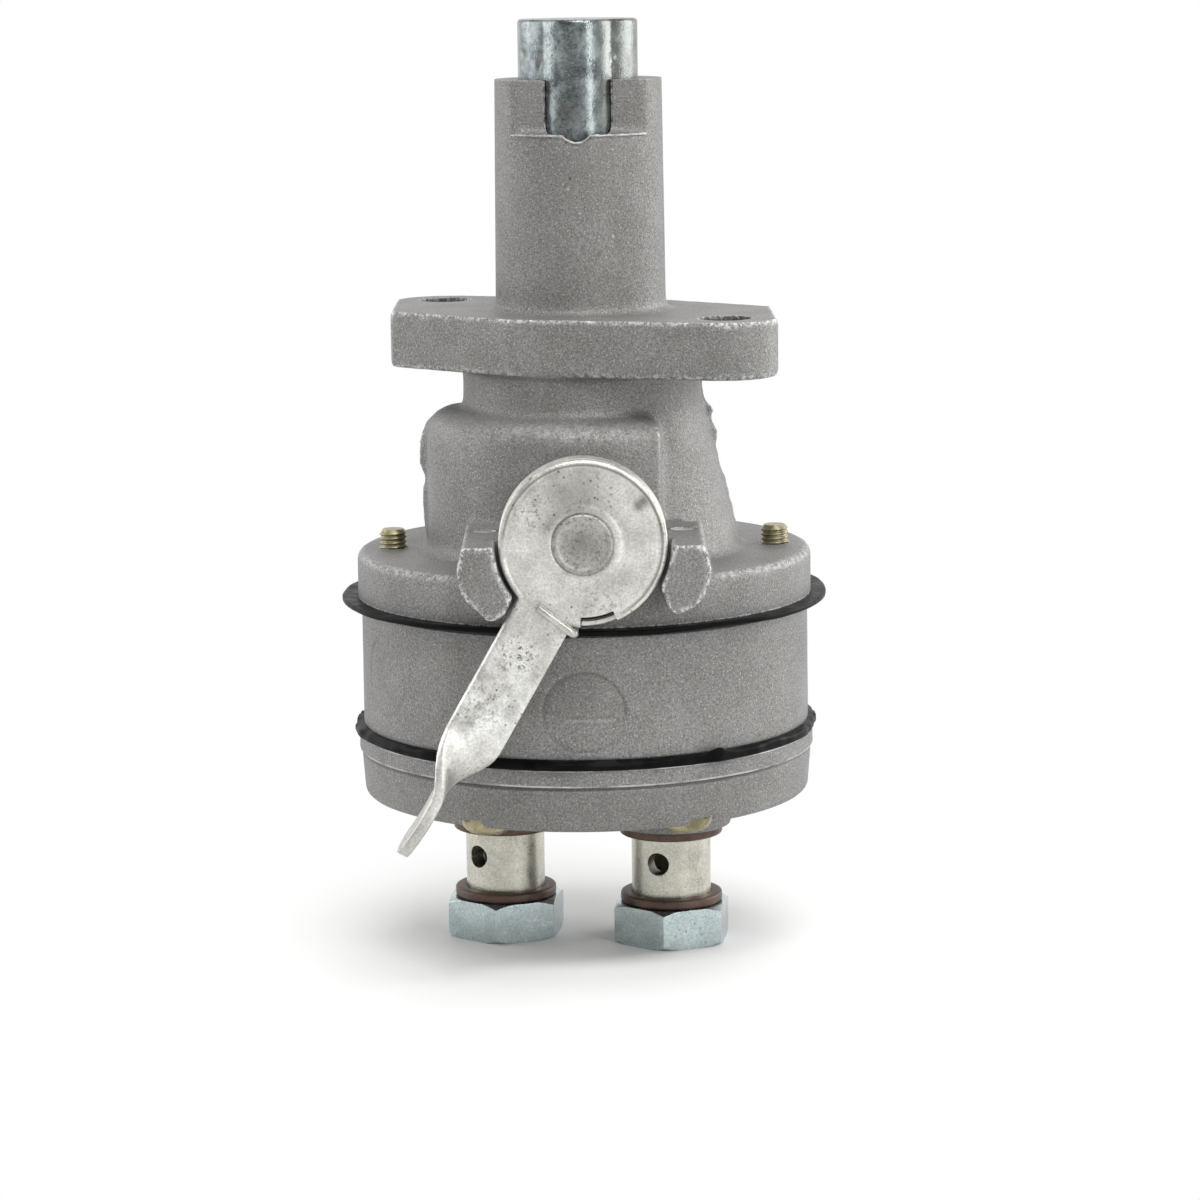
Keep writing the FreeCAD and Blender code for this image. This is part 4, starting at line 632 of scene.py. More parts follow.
shade = [(band_mask(tree, "Z", -16.2, -9.8, 1.0), 0.18), (band_mask(tree, "Z", 3.0, 50.0, 2.0), 0.10)]
tree.links.new(strongest(tree, dark + outlines + shade), surface.inputs["Dirt_and_shade"])
piece_of(housing, "pump", ["pump_housing"], "cast_aluminium", housing_aluminium)


# The ledge's burr: a thin, bright, uneven line of the housing's aluminium, which the cutter left along
# the ledge's front edge.
def loft(mesh, rings):
    """Joins rings of vertices into a closed tube with flat ends."""
    for a, b in zip(rings, rings[1:]):
        for k in range(len(a)):
            j = (k + 1) % len(a)
            mesh.faces.new((a[k], a[j], b[j], b[k]))
    mesh.faces.new(list(reversed(rings[0])))
    mesh.faces.new(rings[-1])
    return mesh


burr = bmesh.new()
rings = []
for k in range(121):
    x = -11.6 + 23.2 * k / 120
    drop = math.sqrt(max(2.8 ** 2 - (x + 0.4) ** 2, 0)) - 1.6
    level = ledge - max(drop, 0)
    y = -math.sqrt(14.72 ** 2 - x * x)
    high = 0.16 + 0.16 * noise.noise(Vector((x * 1.7, 0.3, 0.8)))
    rings.append([burr.verts.new(Vector((x, y + a, level + b)) * MM)
                  for a, b in ((0.25, -0.15), (-0.13, -0.12), (-0.10, high), (0.12, high))])
ledge_burr = finished("ledge_burr", loft(burr, rings), sharp=40)
bright_burr, surface = casting_finish("cast_aluminium_burr")
tree = bright_burr.node_tree
tree.links.new(ramp(tree, mottle(tree, 420, 3, 0.7), 0.42, 0.60, 0.15, 0.85), surface.inputs["Wear_and_highlight"])
piece_of(ledge_burr, "pump", [], "cast_aluminium", bright_burr)

# The valve body: a plain blasted drum between the diaphragm and the gasket, with two faint round
# marks of the mould in its side, and the pump chamber and two valve pockets inside.
body_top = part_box("diaphragm")[0][2] / MM
body_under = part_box("cover_gasket")[1][2] / MM


def refined(outline, longest):
    """The outline with its long edges divided."""
    result = []
    for a, b in zip(outline, outline[1:]):
        a, b = Vector(a), Vector(b)
        parts = max(1, math.ceil((b - a).length / longest))
        result += [a.lerp(b, k / parts) for k in range(parts)]
    return result + [Vector(outline[-1])]


def mould_marks(radius, angle, height):
    """Sinks the round marks a little into the drum's side, and their upper halves with them."""
    if radius < 39 or not body_under + 0.9 < height < body_top - 0.9:
        return radius, height
    sunk = 0.035 * noise.noise(Vector((7 * math.cos(angle), 7 * math.sin(angle), height * 0.16)))
    for middle, level, depth in ((-90.2, -64.1, 0.20), (-151.5, -61.5, 0.16)):
        aside = ((math.degrees(angle) - middle + 180) % 360 - 180) * math.pi / 180 * 39.2
        away = math.hypot(aside, height - level)
        sunk += depth * math.exp(-((away - 6.9) / 0.34) ** 2)
        if away < 6.9 and height > level:
            sunk += depth * 0.6
    return radius - sunk, height


drum_side = refined([(39.25, body_under), (39.2, body_top - 0.4)], 0.3)
drum = [(0, body_under), (38.0, body_under), (38.2, body_under - 0.3), (39.0, body_under - 0.3), *drum_side,
        (38.8, body_top), (0, body_top)]
valve_body = finished("valve_body_casting", lathe(drum, 640, shape=mould_marks))
combine(valve_body, "DIFFERENCE", rod(28, body_top - 9.1, body_top + 3, segments=160),
        rod(6.6, body_top - 12.3, body_top - 8), rod(7.5, body_top - 16.1, body_top - 8, x=-16.5),
        rod(4.6, body_under - 3, body_top - 8, x=-16.5), rod(7.5, body_under - 3, body_under + 7, x=16.5),
        rod(4.6, body_under - 3, body_top - 8, x=16.5),
        *screw_holes(2.75, body_under - 3, body_top + 3))
settle(valve_body, sharp=40)
marked_aluminium, surface = casting_finish("cast_aluminium_marked")
tree = marked_aluminium.node_tree
mark = (-0.14, -39.1, -64.1)
# Painted shade: the mark's ring is darkened strongly on its upper arc and a little over its upper inside, as
# shade under the recess's upper lip, and faintly all round as dirt in it.
ring = sums(tree, ball_mask(tree, mark, 6.95, 7.25), ball_mask(tree, mark, 6.45, 6.8), "SUBTRACT")
upper = band_mask(tree, "Z", -63.5, -50.0, 4.0)
# A thin line across the mark is painted: a dark shaded line with a pale painted highlight just under it.
cross = sums(tree, band_mask(tree, "Z", -64.8, -64.5, 0.15), band_mask(tree, "X", -3.2, 4.6, 0.8), "MULTIPLY")
cross = sums(tree, cross, band_mask(tree, "Y", -45, -30, 1.0), "MULTIPLY")
pale = sums(tree, band_mask(tree, "Z", -65.5, -65.2, 0.15), band_mask(tree, "X", -3.0, 4.4, 0.8), "MULTIPLY")
inside = sums(tree, ball_mask(tree, mark, 6.4, 6.9), upper, "MULTIPLY")
tree.links.new(strongest(tree, [(sums(tree, ring, upper, "MULTIPLY"), 0.45), (ring, 0.10), (cross, 0.26),
                                (inside, 0.10)]), surface.inputs["Dirt_and_shade"])
tree.links.new(strongest(tree, [(sums(tree, pale, band_mask(tree, "Y", -45, -30, 1.0), "MULTIPLY"), 0.15)]),
               surface.inputs["Wear_and_highlight"])
piece_of(valve_body, "pump", ["valve_body"], "cast_aluminium", marked_aluminium)

# The bottom cover: a casting with a thin step line under its rim, a rounded foot, spot faces under
# the screw heads that notch its foot, two fuel galleries inside and a boss for each port.
rim_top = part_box("cover_gasket")[0][2] / MM
cover_under = rim_top - 10.5
port_under = cover_under - 6.7
ports = {"inlet": on_circle(15.1, 180 - 11.8), "outlet": on_circle(15.1, -11.8)}
gallery_radius, gallery_wall, gallery_depth = 26.0, 5.0, 6.0


def cast_wave(radius, angle, height):
    """The slight unevenness of a cast wall."""
    if radius < 38 or height > rim_top - 0.2:
        return radius, height
    return radius + 0.05 * noise.noise(Vector((6 * math.cos(angle), 6 * math.sin(angle), height * 0.3))), height


def half_round(side):
    """One of the two galleries beside the middle wall."""
    reach = math.degrees(math.acos(gallery_wall / 2 / gallery_radius))
    points = [on_circle(gallery_radius, reach * (k / 24 - 1)) for k in range(49)]
    return prism([(side * x, y) for x, y in points], rim_top - gallery_depth, rim_top + 3)


wall = corner_round([(36.0, cover_under - 0.25), (39.15, cover_under - 0.25), (39.7, rim_top - 3.6),
                     (39.45, rim_top - 3.2), (39.45, rim_top - 3.0), (40.1, rim_top - 2.8),
                     (40.0, rim_top + 0.25), (38.0, rim_top + 0.25), (37.8, rim_top)],
                    [0, 1.1, 0.2, 0, 0, 0.15, 0.3, 0, 0])
cover = finished("cover_casting", lathe([(0, cover_under), *wall, (0, rim_top)], 512, shape=cast_wave))
combine(cover, "UNION", *[lathe(corner_round([(0, cover_under + 3), (10.9, cover_under + 3), (10.6, port_under),
                                              (0, port_under)], [0, 0, 0.5, 0]), 96, centre=(x, y, 0))
                          for x, y in ports.values()])
combine(cover, "DIFFERENCE", half_round(-1), half_round(1),
        *[rod(7.02, port_under - 3, rim_top - 5, x, y) for x, y in ports.values()],
        *screw_holes(2.75, cover_under - 3, rim_top + 3),
        *screw_holes(6.0, cover_under - 3, cover_under + 1.0, 64))
settle(cover, sharp=35)
cover_aluminium, surface = casting_finish("cast_aluminium_cover")
tree = cover_aluminium.node_tree
# Painted shade: the cover's front below the step is darkened, and a thin line under the step as the step's
# shadow.
front = sums(tree, band_mask(tree, "Z", -110, rim_top - 4.2, 1.0), band_mask(tree, "X", -14, 14, 16),
             "MULTIPLY")
step_shadow = band_mask(tree, "Z", rim_top - 3.45, rim_top - 3.0, 0.15)
tree.links.new(strongest(tree, [(step_shadow, 0.45), (front, 0.22)]), surface.inputs["Dirt_and_shade"])
# The step's lower edge and the rim's top edge turn pale in patches: partly wear, partly painted highlight.
chipped = ramp(tree, mottle(tree, 160, 4), 0.42, 0.60)
lip = strongest(tree, [(band_mask(tree, "Z", rim_top - 2.85, rim_top - 2.6, 0.12), 0.6),
                       (band_mask(tree, "Z", rim_top - 0.05, rim_top + 0.4, 0.12), 0.8)])
tree.links.new(sums(tree, lip, chipped, "MULTIPLY"), surface.inputs["Wear_and_highlight"])
piece_of(cover, "pump", ["bottom_cover"], "cast_aluminium", cover_aluminium)

# The diaphragm: black fabric-backed rubber. Its rim stands out unevenly between the castings; the
# middle part moves down with the push rod inside the chamber.
rubber_top, rubber_under = base_under, body_top


def loose_rim(radius, angle, height):
    """The free rim is wavy, outward and up and down."""
    free = min(max((radius - 40.2) / 2.0, 0), 1)
    spot = Vector((2.2 * math.cos(angle), 2.2 * math.sin(angle), 0.3))
    fine = Vector((9 * math.cos(angle), 9 * math.sin(angle), 1.3))
    sway = 0.30 + 0.30 * noise.noise(spot) + 0.08 * noise.noise(fine)
    middle = (rubber_top + rubber_under) / 2
    height = middle + (height - middle) * (1 - 0.32 * free)
    return radius + free * (0.30 * noise.noise(spot * 1.7) + 0.08 * noise.noise(fine)), height + free * sway


rim = corner_round([(28.2, rubber_under), (42.5, rubber_under), (42.5, rubber_top), (28.2, rubber_top)],
                   [0, 0.3, 0.3, 0], steps=3)
diaphragm_rim = finished("diaphragm_rim", lathe(refined(rim, 1.0), 512, shape=loose_rim))
combine(diaphragm_rim, "DIFFERENCE", *screw_holes(2.75, rubber_under - 3, rubber_top + 3))
settle(diaphragm_rim, sharp=50)
diaphragm_middle = finished("diaphragm_middle", lathe([(3.02, rubber_under), (27.6, rubber_under),
                                                       (27.6, rubber_top), (3.02, rubber_top)], 128), sharp=40)

# Black rubber: dull, with faint patches of dust.
black_rubber, shader = new_material("black_rubber", roughness=0.5)
shader.inputs["Specular IOR Level"].default_value = 0.07
tree = black_rubber.node_tree
dust = mottle(tree, 350, 4, 0.6)
tree.links.new(mixed(tree, ramp(tree, dust, 0.45, 0.75), (0.002, 0.002, 0.002), (0.007, 0.007, 0.007)),
               shader.inputs["Base Color"])
tree.links.new(ramp(tree, dust, 0.3, 0.7, 0.30, 0.52), shader.inputs["Roughness"])
bump = tree.nodes.new("ShaderNodeBump")
bump.inputs["Strength"].default_value = 0.25
bump.inputs["Distance"].default_value = 0.0001
tree.links.new(mottle(tree, 900, 3), bump.inputs["Height"])
tree.links.new(bump.outputs["Normal"], shader.inputs["Normal"])
piece_of(diaphragm_rim, "pump", ["diaphragm"], "black_rubber", black_rubber)
piece_of(diaphragm_middle, "rod", [], "black_rubber", black_rubber)

# The cover gasket: soft black rubber, squeezed out unevenly between valve body and cover, with one
# small fold at the front right.
gasket_middle = (rim_top + body_under) / 2


def squeezed(radius, angle, height):
    """The gasket's edge creeps out and over the castings' edges here and there."""
    if radius < 39:
        return radius, height
    spot = Vector((3.1 * math.cos(angle), 3.1 * math.sin(angle), 4.1))
    fine = Vector((14 * math.cos(angle), 14 * math.sin(angle), 2.7))
    side = (math.degrees(angle) + 90 + 180) % 360 - 180
    fold = math.exp(-((side - 33.5) / 2.6) ** 2)
    lip = max((radius - 39.95) / 0.6, 0)
    out = 0.55 * noise.noise(spot) + 0.25 * noise.noise(fine) + 0.35 * fold
    swell = 1 + lip * (0.9 * noise.noise(spot * 2.1) + 0.5 * noise.noise(fine) - 0.42 + 1.5 * fold)
    if height < gasket_middle:
        swell = 1 - 0.15 * lip
    return radius + lip * out, gasket_middle + (height - gasket_middle) * swell


edge = corner_round([(26.0, body_under), (26.0, rim_top), (39.9, rim_top), (40.62, rim_top + 0.1),
                     (40.62, body_under - 0.1), (39.9, body_under)], [0, 0, 0, 0.5, 0.5, 0], steps=4)
gasket = finished("gasket_ring", lathe(edge, 640, shape=squeezed))
bridge = gallery_wall / 2
combine(gasket, "UNION", prism([(-bridge, -27), (bridge, -27), (bridge, 27), (-bridge, 27)],
                               rim_top, body_under))
combine(gasket, "DIFFERENCE", *screw_holes(2.75, rim_top - 3, body_under + 3))
settle(gasket, sharp=50)
piece_of(gasket, "pump", ["cover_gasket"], "black_rubber", black_rubber)

# The cover screws: six M5 screws, yellow passivated, with domed slotted heads under the cover and
# bare thread ends above the base flange.
screw_seat = cover_under + 1.0
screw_tip = screw_seat + 45.0
thread_from = base_top - 0.5


def threaded(radius, angle, height):
    """A helical thread of 0.8 mm pitch on the end of the shank."""
    if radius < 2.0 or height < thread_from:
        return radius, height
    wind = (height / 0.8 - angle / (2 * math.pi)) % 1
    return min(radius, 2.48 - 0.42 * abs(2 * wind - 1)), height


screws = bmesh.new()
crown = [(4.5 * math.sin(t * math.pi / 12), screw_seat - 3.6 + 2.3 * (1 - math.cos(t * math.pi / 12)))
         for t in range(7)]
shank = [(4.5, screw_seat - 0.25), (4.25, screw_seat), (2.45, screw_seat), (2.45, thread_from)]
ending = [(2.48, thread_from + 0.1 * k) for k in range(1, int((screw_tip - 0.5 - thread_from) / 0.1))]
for k in range(6):
    x, y = on_circle(screw_circle, 60 * k)
    lathe([*crown, *shank, *ending, (1.85, screw_tip), (0, screw_tip)], 64, centre=(x, y, 0), shape=threaded,
          mesh=screws)
cover_screws = finished("cover_screw_set", screws)
slots = []
for k in range(6):
    x, y = on_circle(screw_circle, 60 * k)
    along, aside = on_circle(1, 37 * k + 64)
    slots.append(prism([(x + a * along - b * aside, y + a * aside + b * along)
                        for a, b in ((-0.55, -5), (0.55, -5), (0.55, 5), (-0.55, 5))],
                       screw_seat - 5, screw_seat - 2.5))
combine(cover_screws, "DIFFERENCE", *slots)
settle(cover_screws, sharp=35)

# Zinc plating: a cloudy bright skin, finely mottled, with dark specks where dirt has settled, and painted
# highlights on its rounded edges.
plating, plating_in, plating_out = group_of(
    "zinc_plating",
    [("Color", "NodeSocketColor"), ("Roughness", "NodeSocketFloat"), ("Normal", "NodeSocketVector")],
    [("Light", "NodeSocketColor", (0.7, 0.7, 0.68, 1)), ("Dark", "NodeSocketColor", (0.4, 0.4, 0.4, 1)),
     ("Specks", "NodeSocketFloat", 0.5), ("Gloss", "NodeSocketFloat", 0.3),
     ("Soiled", "NodeSocketFloat", 0.0), ("Stain_and_shade", "NodeSocketFloat", 0.0),
     ("Relief", "NodeSocketFloat", 0.35)])
cloud = mottle(plating, 260, 5, 0.65)
fine = mottle(plating, 2600, 2, 0.6)
dots = cells(plating, 900)
where = mottle(plating, 120, 3, 0.6)
colour = mixed(plating, ramp(plating, cloud, 0.35, 0.62), plating_in.outputs["Dark"],
               plating_in.outputs["Light"])
colour = mixed(plating, 1.0, colour, mixed(plating, ramp(plating, fine, 0.3, 0.7), (0.80, 0.80, 0.80),
                                           (1.16, 1.16, 1.16)), "MULTIPLY")
speck = sums(plating, ramp(plating, dots, 0.26, 0.10), ramp(plating, where, 0.48, 0.62), "MULTIPLY")
speck = sums(plating, speck, plating_in.outputs["Specks"], "MULTIPLY")
grime = mottle(plating, 1500, 4, 0.7)
soiled = sums(plating, ramp(plating, grime, 0.53, 0.60), plating_in.outputs["Soiled"], "MULTIPLY")
speck = sums(plating, speck, soiled, "MAXIMUM")
edge_normal, edge = rounded_edges(plating, 0.2)
# Painted highlight: the rounded edges turn pale.
colour = mixed(plating, sums(plating, edge, 0.5, "MULTIPLY"), colour, (0.85, 0.85, 0.83))
# This input darkens both for real stains and for painted shade.
colour = mixed(plating, plating_in.outputs["Stain_and_shade"], colour, (0.13, 0.125, 0.10))
colour = mixed(plating, speck, colour, (0.045, 0.04, 0.03))
plating.links.new(colour, plating_out.inputs["Color"])
rough = sums(plating, plating_in.outputs["Gloss"], sums(plating, ramp(plating, cloud, 0.3, 0.7, -0.06, 0.10),
                                                        sums(plating, speck, 0.3, "MULTIPLY")))
plating.links.new(rough, plating_out.inputs["Roughness"])
bump = plating.nodes.new("ShaderNodeBump")
bump.inputs["Distance"].default_value = 0.00006
plating.links.new(plating_in.outputs["Relief"], bump.inputs["Strength"])
plating.links.new(fine, bump.inputs["Height"])
plating.links.new(edge_normal, bump.inputs["Normal"])
plating.links.new(bump.outputs["Normal"], plating_out.inputs["Normal"])


def plated(name, light, dark, specks, gloss, metallic=0.9):
    """A plated or bright metal with the mottled skin."""
    material, shader = new_material(name, metallic=metallic)
    tree = material.node_tree
    surface = tree.nodes.new("ShaderNodeGroup")
    surface.node_tree = plating
    surface.inputs["Light"].default_value = (*light, 1)
    surface.inputs["Dark"].default_value = (*dark, 1)
    surface.inputs["Specks"].default_value = specks
    surface.inputs["Gloss"].default_value = gloss
    for output, socket in (("Color", "Base Color"), ("Roughness", "Roughness"), ("Normal", "Normal")):
        tree.links.new(surface.outputs[output], shader.inputs[socket])
    return material, surface


yellow_plated_screw, surface = plated("yellow_plated_screw", (0.43, 0.385, 0.235), (0.20, 0.18, 0.10),
                                      0.3, 0.34, 0.9)
piece_of(cover_screws, "pump", ["cover_screws"], "yellow_plated_screw", yellow_plated_screw)

# The banjo bolts: zinc plated hexagon heads with turned bevels, bare shanks with cross holes
# between the washers, hollow up to the port; four copper-brown sealing washers.
head_under = floor_level / MM
head_top = head_under + 7.0
washer_height = 1.7
bare_to = port_under - washer_height
cross_level = bare_to - 4.5
bolt_tip = port_under + 10.5
across_flats, shank_radius = 19, 7.0
corner_reach = across_flats / math.sqrt(3)
chamfer = [(corner_reach - 1.15, 0), (corner_reach + 0.2, 0.85)]
plated_bolt, surface = plated("plated_bolt", (0.50, 0.58, 0.585), (0.41, 0.475, 0.485), 0.4, 0.22, 1.0)
bare_shank, surface = plated("bare_shank", (0.60, 0.585, 0.51), (0.44, 0.43, 0.37), 0.3, 0.28, 0.9)
copper_washer, surface = plated("copper_washer", (0.125, 0.078, 0.058), (0.060, 0.040, 0.032), 0.4, 0.42, 0.5)
for name, cross_turn in (("inlet", 43.0), ("outlet", 21.0)):
    x, y = ports[name]
    hexagon = [(x + corner_reach * math.cos(a), y + corner_reach * math.sin(a))
               for a in (math.radians(-98.5 + 60 * k) for k in range(6))]
    head = finished(name + "_bolt", prism(hexagon, head_under, head_top), smooth=False)
    turned_off = lathe([(0, head_under), *[(r, head_under + rise) for r, rise in chamfer],
                        *[(r, head_top - rise) for r, rise in chamfer[::-1]], (0, head_top)],
                       128, centre=(x, y, 0))
    combine(head, "INTERSECT", turned_off)
    shank = lathe([(0, head_top - 1), (shank_radius, head_top - 1), (shank_radius, bare_to - 0.2),
                   (6.85, bare_to), (6.98, bare_to + 0.2), (6.98, bolt_tip - 0.9), (6.1, bolt_tip),
                   (0, bolt_tip)],
                  128, centre=(x, y, 0))
    combine(head, "UNION", shank)
    hole = rod(2.0, -9, 9, axis="Y", segments=64)
    spin = Matrix.Rotation(math.radians(-cross_turn), 3, "Z")
    bmesh.ops.rotate(hole, verts=hole.verts, cent=(0, 0, 0), matrix=spin)
    bmesh.ops.translate(hole, verts=hole.verts, vec=Vector((x, y, cross_level)) * MM)
    combine(head, "DIFFERENCE", rod(4.0, cross_level - 3.5, bolt_tip + 3, x, y), hole)
    settle(head, sharp=20)
    piece_of(head, "pump", [name + "_banjo_bolt"], "plated_bolt", plated_bolt, bare_shank)
    for face in head.data.polygons:
        if face.center.z > (head_top + 0.05) * MM:
            face.material_index = 1
    for which, low, wobble in (("upper", bare_to, 0.12), ("lower", head_top, 0.0)):
        outline = corner_round([(7.05, low), (9.0 + wobble, low), (9.0 + wobble, low + washer_height),
                                (7.05, low + washer_height)], [0.15, 0.5, 0.5, 0.15], steps=4)
        washer = finished("%s_%s_seal" % (name, which), lathe(outline, 128, centre=(x, y, 0)), sharp=50)
        piece_of(washer, "pump", ["%s_%s_washer" % (name, which)], "copper_washer", copper_washer)

# The tappet: a plated steel cup with a blended half-round rib in front, which slides in the tube's
# groove. Its crown has a small broken edge and the side a few dents.
tappet_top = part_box("tappet")[1][2] / MM
tappet_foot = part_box("tappet")[0][2] / MM
tappet_radius, rib_radius, rib_foot = 10.35, 6.06, tappet_top - 21.5
plunger = lathe(corner_round([(0, tappet_foot), (tappet_radius, tappet_foot), (tappet_radius, tappet_top),
                              (0, tappet_top)], [0, 0.3, 0.5, 0], steps=3), 192)
lathe(corner_round([(0, rib_foot), (rib_radius, rib_foot), (rib_radius, tappet_top), (0, tappet_top)],
                   [0, 0, 0.45, 0], steps=3), 128, centre=(0, -rib_forward, 0), mesh=plunger)
tappet = skinned(finished("tappet_cup", plunger), 0.34, 2)
combine(tappet, "DIFFERENCE", rod(8.85, tappet_foot - 3, tappet_top - 8))
for spot in tappet.data.vertices:
    x, y, z = spot.co / MM
    if y < -3 and z > 30:
        for px, pz, reach, depth in ((-9.3, 44.2, 0.75, 0.30), (-6.6, 42.4, 0.6, 0.22), (6.1, 43.6, 0.7, 0.35),
                                     (5.9, 41.8, 0.35, 0.2), (5.9, 40.9, 0.3, 0.18)):
            away = math.hypot(x - px, (z - pz) * 0.7) / reach
            if away < 2:
                spot.co += Vector((-x, -y, 0)).normalized() * depth * MM * math.exp(-2 * away * away)
settle(tappet, sharp=45)
plated_tappet, surface = plated("plated_tappet", (0.33, 0.37, 0.37), (0.11, 0.125, 0.135), 0.6, 0.25, 1.0)
surface.inputs["Relief"].default_value = 0.8
tree = plated_tappet.node_tree
stains = spots(tree, (-9.3, -4.6, 44.4, 0.5, 1.0, 0.8), (-6.4, -8.2, 42.6, 0.5, 1.4, 0.7),
               (-2.0, -12.0, 34.0, 1.0, 3.0, 0.5), (6.1, -8.3, 43.4, 0.3, 1.1, 0.8),
               (9.5, -4.0, 44.0, 0.3, 1.1, 0.6))
# Painted shade: the tappet's right side, from x 4 mm outward, is darkened with the real stains.
tree.links.new(strongest(tree, [*stains, (band_mask(tree, "X", 4.0, 12.0, 0.7), 0.5)]), surface.inputs["Stain_and_shade"])
tree.links.new(strongest(tree, [(band_mask(tree, "X", -4.6, 1.2, 1.2), 0.55)]), surface.inputs["Soiled"])
piece_of(tappet, "tappet", ["tappet"], "plated_tappet", plated_tappet)

# The priming lever: one piece of zinc plated sheet, a disc riveted to the shaft and an arm whose
# end is twisted edge-on into a thumb tab. A notch lets the spring's hook come through.
lever_back, lever_front = 45.0, 47.0
arm_lean = math.radians(29.6)
arm_way = Vector((-math.sin(arm_lean), 0, -math.cos(arm_lean)))
arm_side = Vector((math.cos(arm_lean), 0, -math.sin(arm_lean)))
arm_end, arm_half = 60.1, 5.0
disc_radius = 13.9
pivot = Vector((0, -(lever_back + lever_front) / 2, shaft_level))


def smooth_step(t):
    """0 to 1 with a soft start and end."""
    t = min(max(t, 0), 1)
    return t * t * (3 - 2 * t)


def arm_section(distance):
    """The centre, half width and directions of the arm's sheet at a distance from the pivot."""
    turned = math.pi / 2 * smooth_step((distance - 34.5) / 15.0)
    width_way = arm_side * math.cos(turned) + Vector((0, 1, 0)) * math.sin(turned)
    thick_way = arm_way.cross(width_way)
    half = arm_half
    if distance > arm_end - 4:
        half = 1.0 + math.sqrt(max(16 - (distance - arm_end + 4) ** 2, 0))
    aside = -0.5 * smooth_step((distance - 38) / 8) - 0.65 * smooth_step((distance - 52) / 9)
    return pivot + arm_way * distance + arm_side * aside, half, width_way, thick_way


lever_mesh = bmesh.new()
rings = []
for step in range(160):
    distance = 6.0 + (arm_end - 6.0) * step / 159
    middle, half, width_way, thick_way = arm_section(distance)
    section = corner_round([(-half, -1), (half, -1), (half, 1), (-half, 1)], [0.35, 0.35, 0.4, 0.9], steps=3)
    rings.append([lever_mesh.verts.new((middle + width_way * a + thick_way * b) * MM) for a, b in section])
loft(lever_mesh, rings)
disc = corner_round([(0, lever_back), (disc_radius, lever_back), (disc_radius, lever_front - 0.1),
                     (13.15, lever_front + 0.12), (12.85, lever_front - 0.22), (12.2, lever_front),
                     (6.8, lever_front), (6.0, lever_front + 0.26), (5.4, lever_front + 0.28),
                     (5.1, lever_front), (0, lever_front)],
                    [0, 0.3, 0.6, 0.3, 0.3, 0.8, 0.9, 0.5, 0.2, 0, 0])
lathe(disc, 256, "Y", (0, 0, shaft_level), mesh=lever_mesh)
lever = skinned(finished("lever_sheet", lever_mesh), 0.26, 2)


def notch(near, far, first, last):
    """A ring sector round the shaft, seen from the front, the angles in degrees from the right."""
    arcs = [[on_circle(r, first + (last - first) * k / 12) for k in range(13)] for r in (near, far)]
    return prism([(x, z + shaft_level) for x, z in arcs[0] + arcs[1][::-1]], 44, 48.5, along="Y")


combine(lever, "DIFFERENCE", rod(3.82, 44, 48, axis="Y", level=shaft_level, segments=64),
        notch(12.15, 17, -92.5, -66.5))
settle(lever, sharp=40)
plated_lever, surface = plated("plated_lever", (0.76, 0.75, 0.71), (0.56, 0.55, 0.51), 0.75, 0.40, 0.8)
tree = plated_lever.node_tree
disc_middle = (0, -lever_front, shaft_level)
# Painted shade: a thin ring inside the disc's rim is darkened on its upper and right parts, as the shadow of
# the rim's lip; the spots are real stains.
groove = sums(tree, ball_mask(tree, disc_middle, 13.15, 13.4), ball_mask(tree, disc_middle, 12.7, 13.0),
              "SUBTRACT")
shaded_rim_part = strongest(tree, [(band_mask(tree, "Z", -32.0, -15, 5.0), 1.0),
                            (band_mask(tree, "X", 8.0, 16, 3.0), 0.7)])
stains = spots(tree, (-1.0, -47, -27.0, 2.0, 8.0, 0.50), (9.2, -47, -28.0, 0.3, 1.3, 0.7),
               (10.0, -47, -27.3, 0.3, 1.3, 0.7), (-29.0, -46, -83.0, 3.0, 9.0, 0.30),
               (-24.4, -46, -66.0, 0.5, 1.6, 0.7))
tree.links.new(strongest(tree, [(sums(tree, groove, shaded_rim_part, "MULTIPLY"), 0.75), *stains]),
               surface.inputs["Stain_and_shade"])
soiled = spots(tree, (-8.6, -47, -29.5, 1.5, 4.0, 0.5), (3.0, -47, -44.5, 1.5, 6.0, 0.35),
               (-11.0, -47, -52.5, 1.0, 5.0, 0.9), (-17.0, -47, -60.5, 2.0, 7.0, 0.45),
               (-29.0, -46, -83.0, 1.5, 7.0, 0.5))
tree.links.new(strongest(tree, soiled), surface.inputs["Soiled"])
# Painted reflection: the lower arm, where it twists, is paled almost to white.
pale = mixed(tree, ball_mask(tree, (-17.5, -47, -61.0), 5.0, 14.0), (0.76, 0.75, 0.71), (0.97, 0.97, 0.94))
tree.links.new(pale, surface.inputs["Light"])
piece_of(lever, "lever", ["primer_lever"], "plated_lever", plated_lever)

# The spring cup: a drawn steel cap behind the lever's disc that hides the coil of the spring; its
# slot lets the hook out.
cup = finished("spring_cap", lathe(corner_round([(5.02, lever_back - 0.8), (13.1, lever_back - 0.8),
                                                 (13.1, lever_back - 4), (disc_radius, lever_back - 4),
                                                 (disc_radius, lever_back), (5.02, lever_back)],
                                                [0, 0.5, 0.1, 0.1, 0.4, 0]), 192, "Y", (0, 0, shaft_level)))
lever_wire, coil_reach = 0.75, 11.3
hook_aside, hook_reach = arm_half + lever_wire + 0.15, 14.9
hook_way = (arm_way * math.sqrt(hook_reach ** 2 - hook_aside ** 2) + arm_side * hook_aside).normalized()
hook_across = Vector((-hook_way.z, 0, hook_way.x))
centre = Vector((0, 0, shaft_level))
slot = [centre + hook_way * d + hook_across * s for d, s in ((10.9, 1.1), (15, 1.1), (15, -1.1), (10.9, -1.1))]
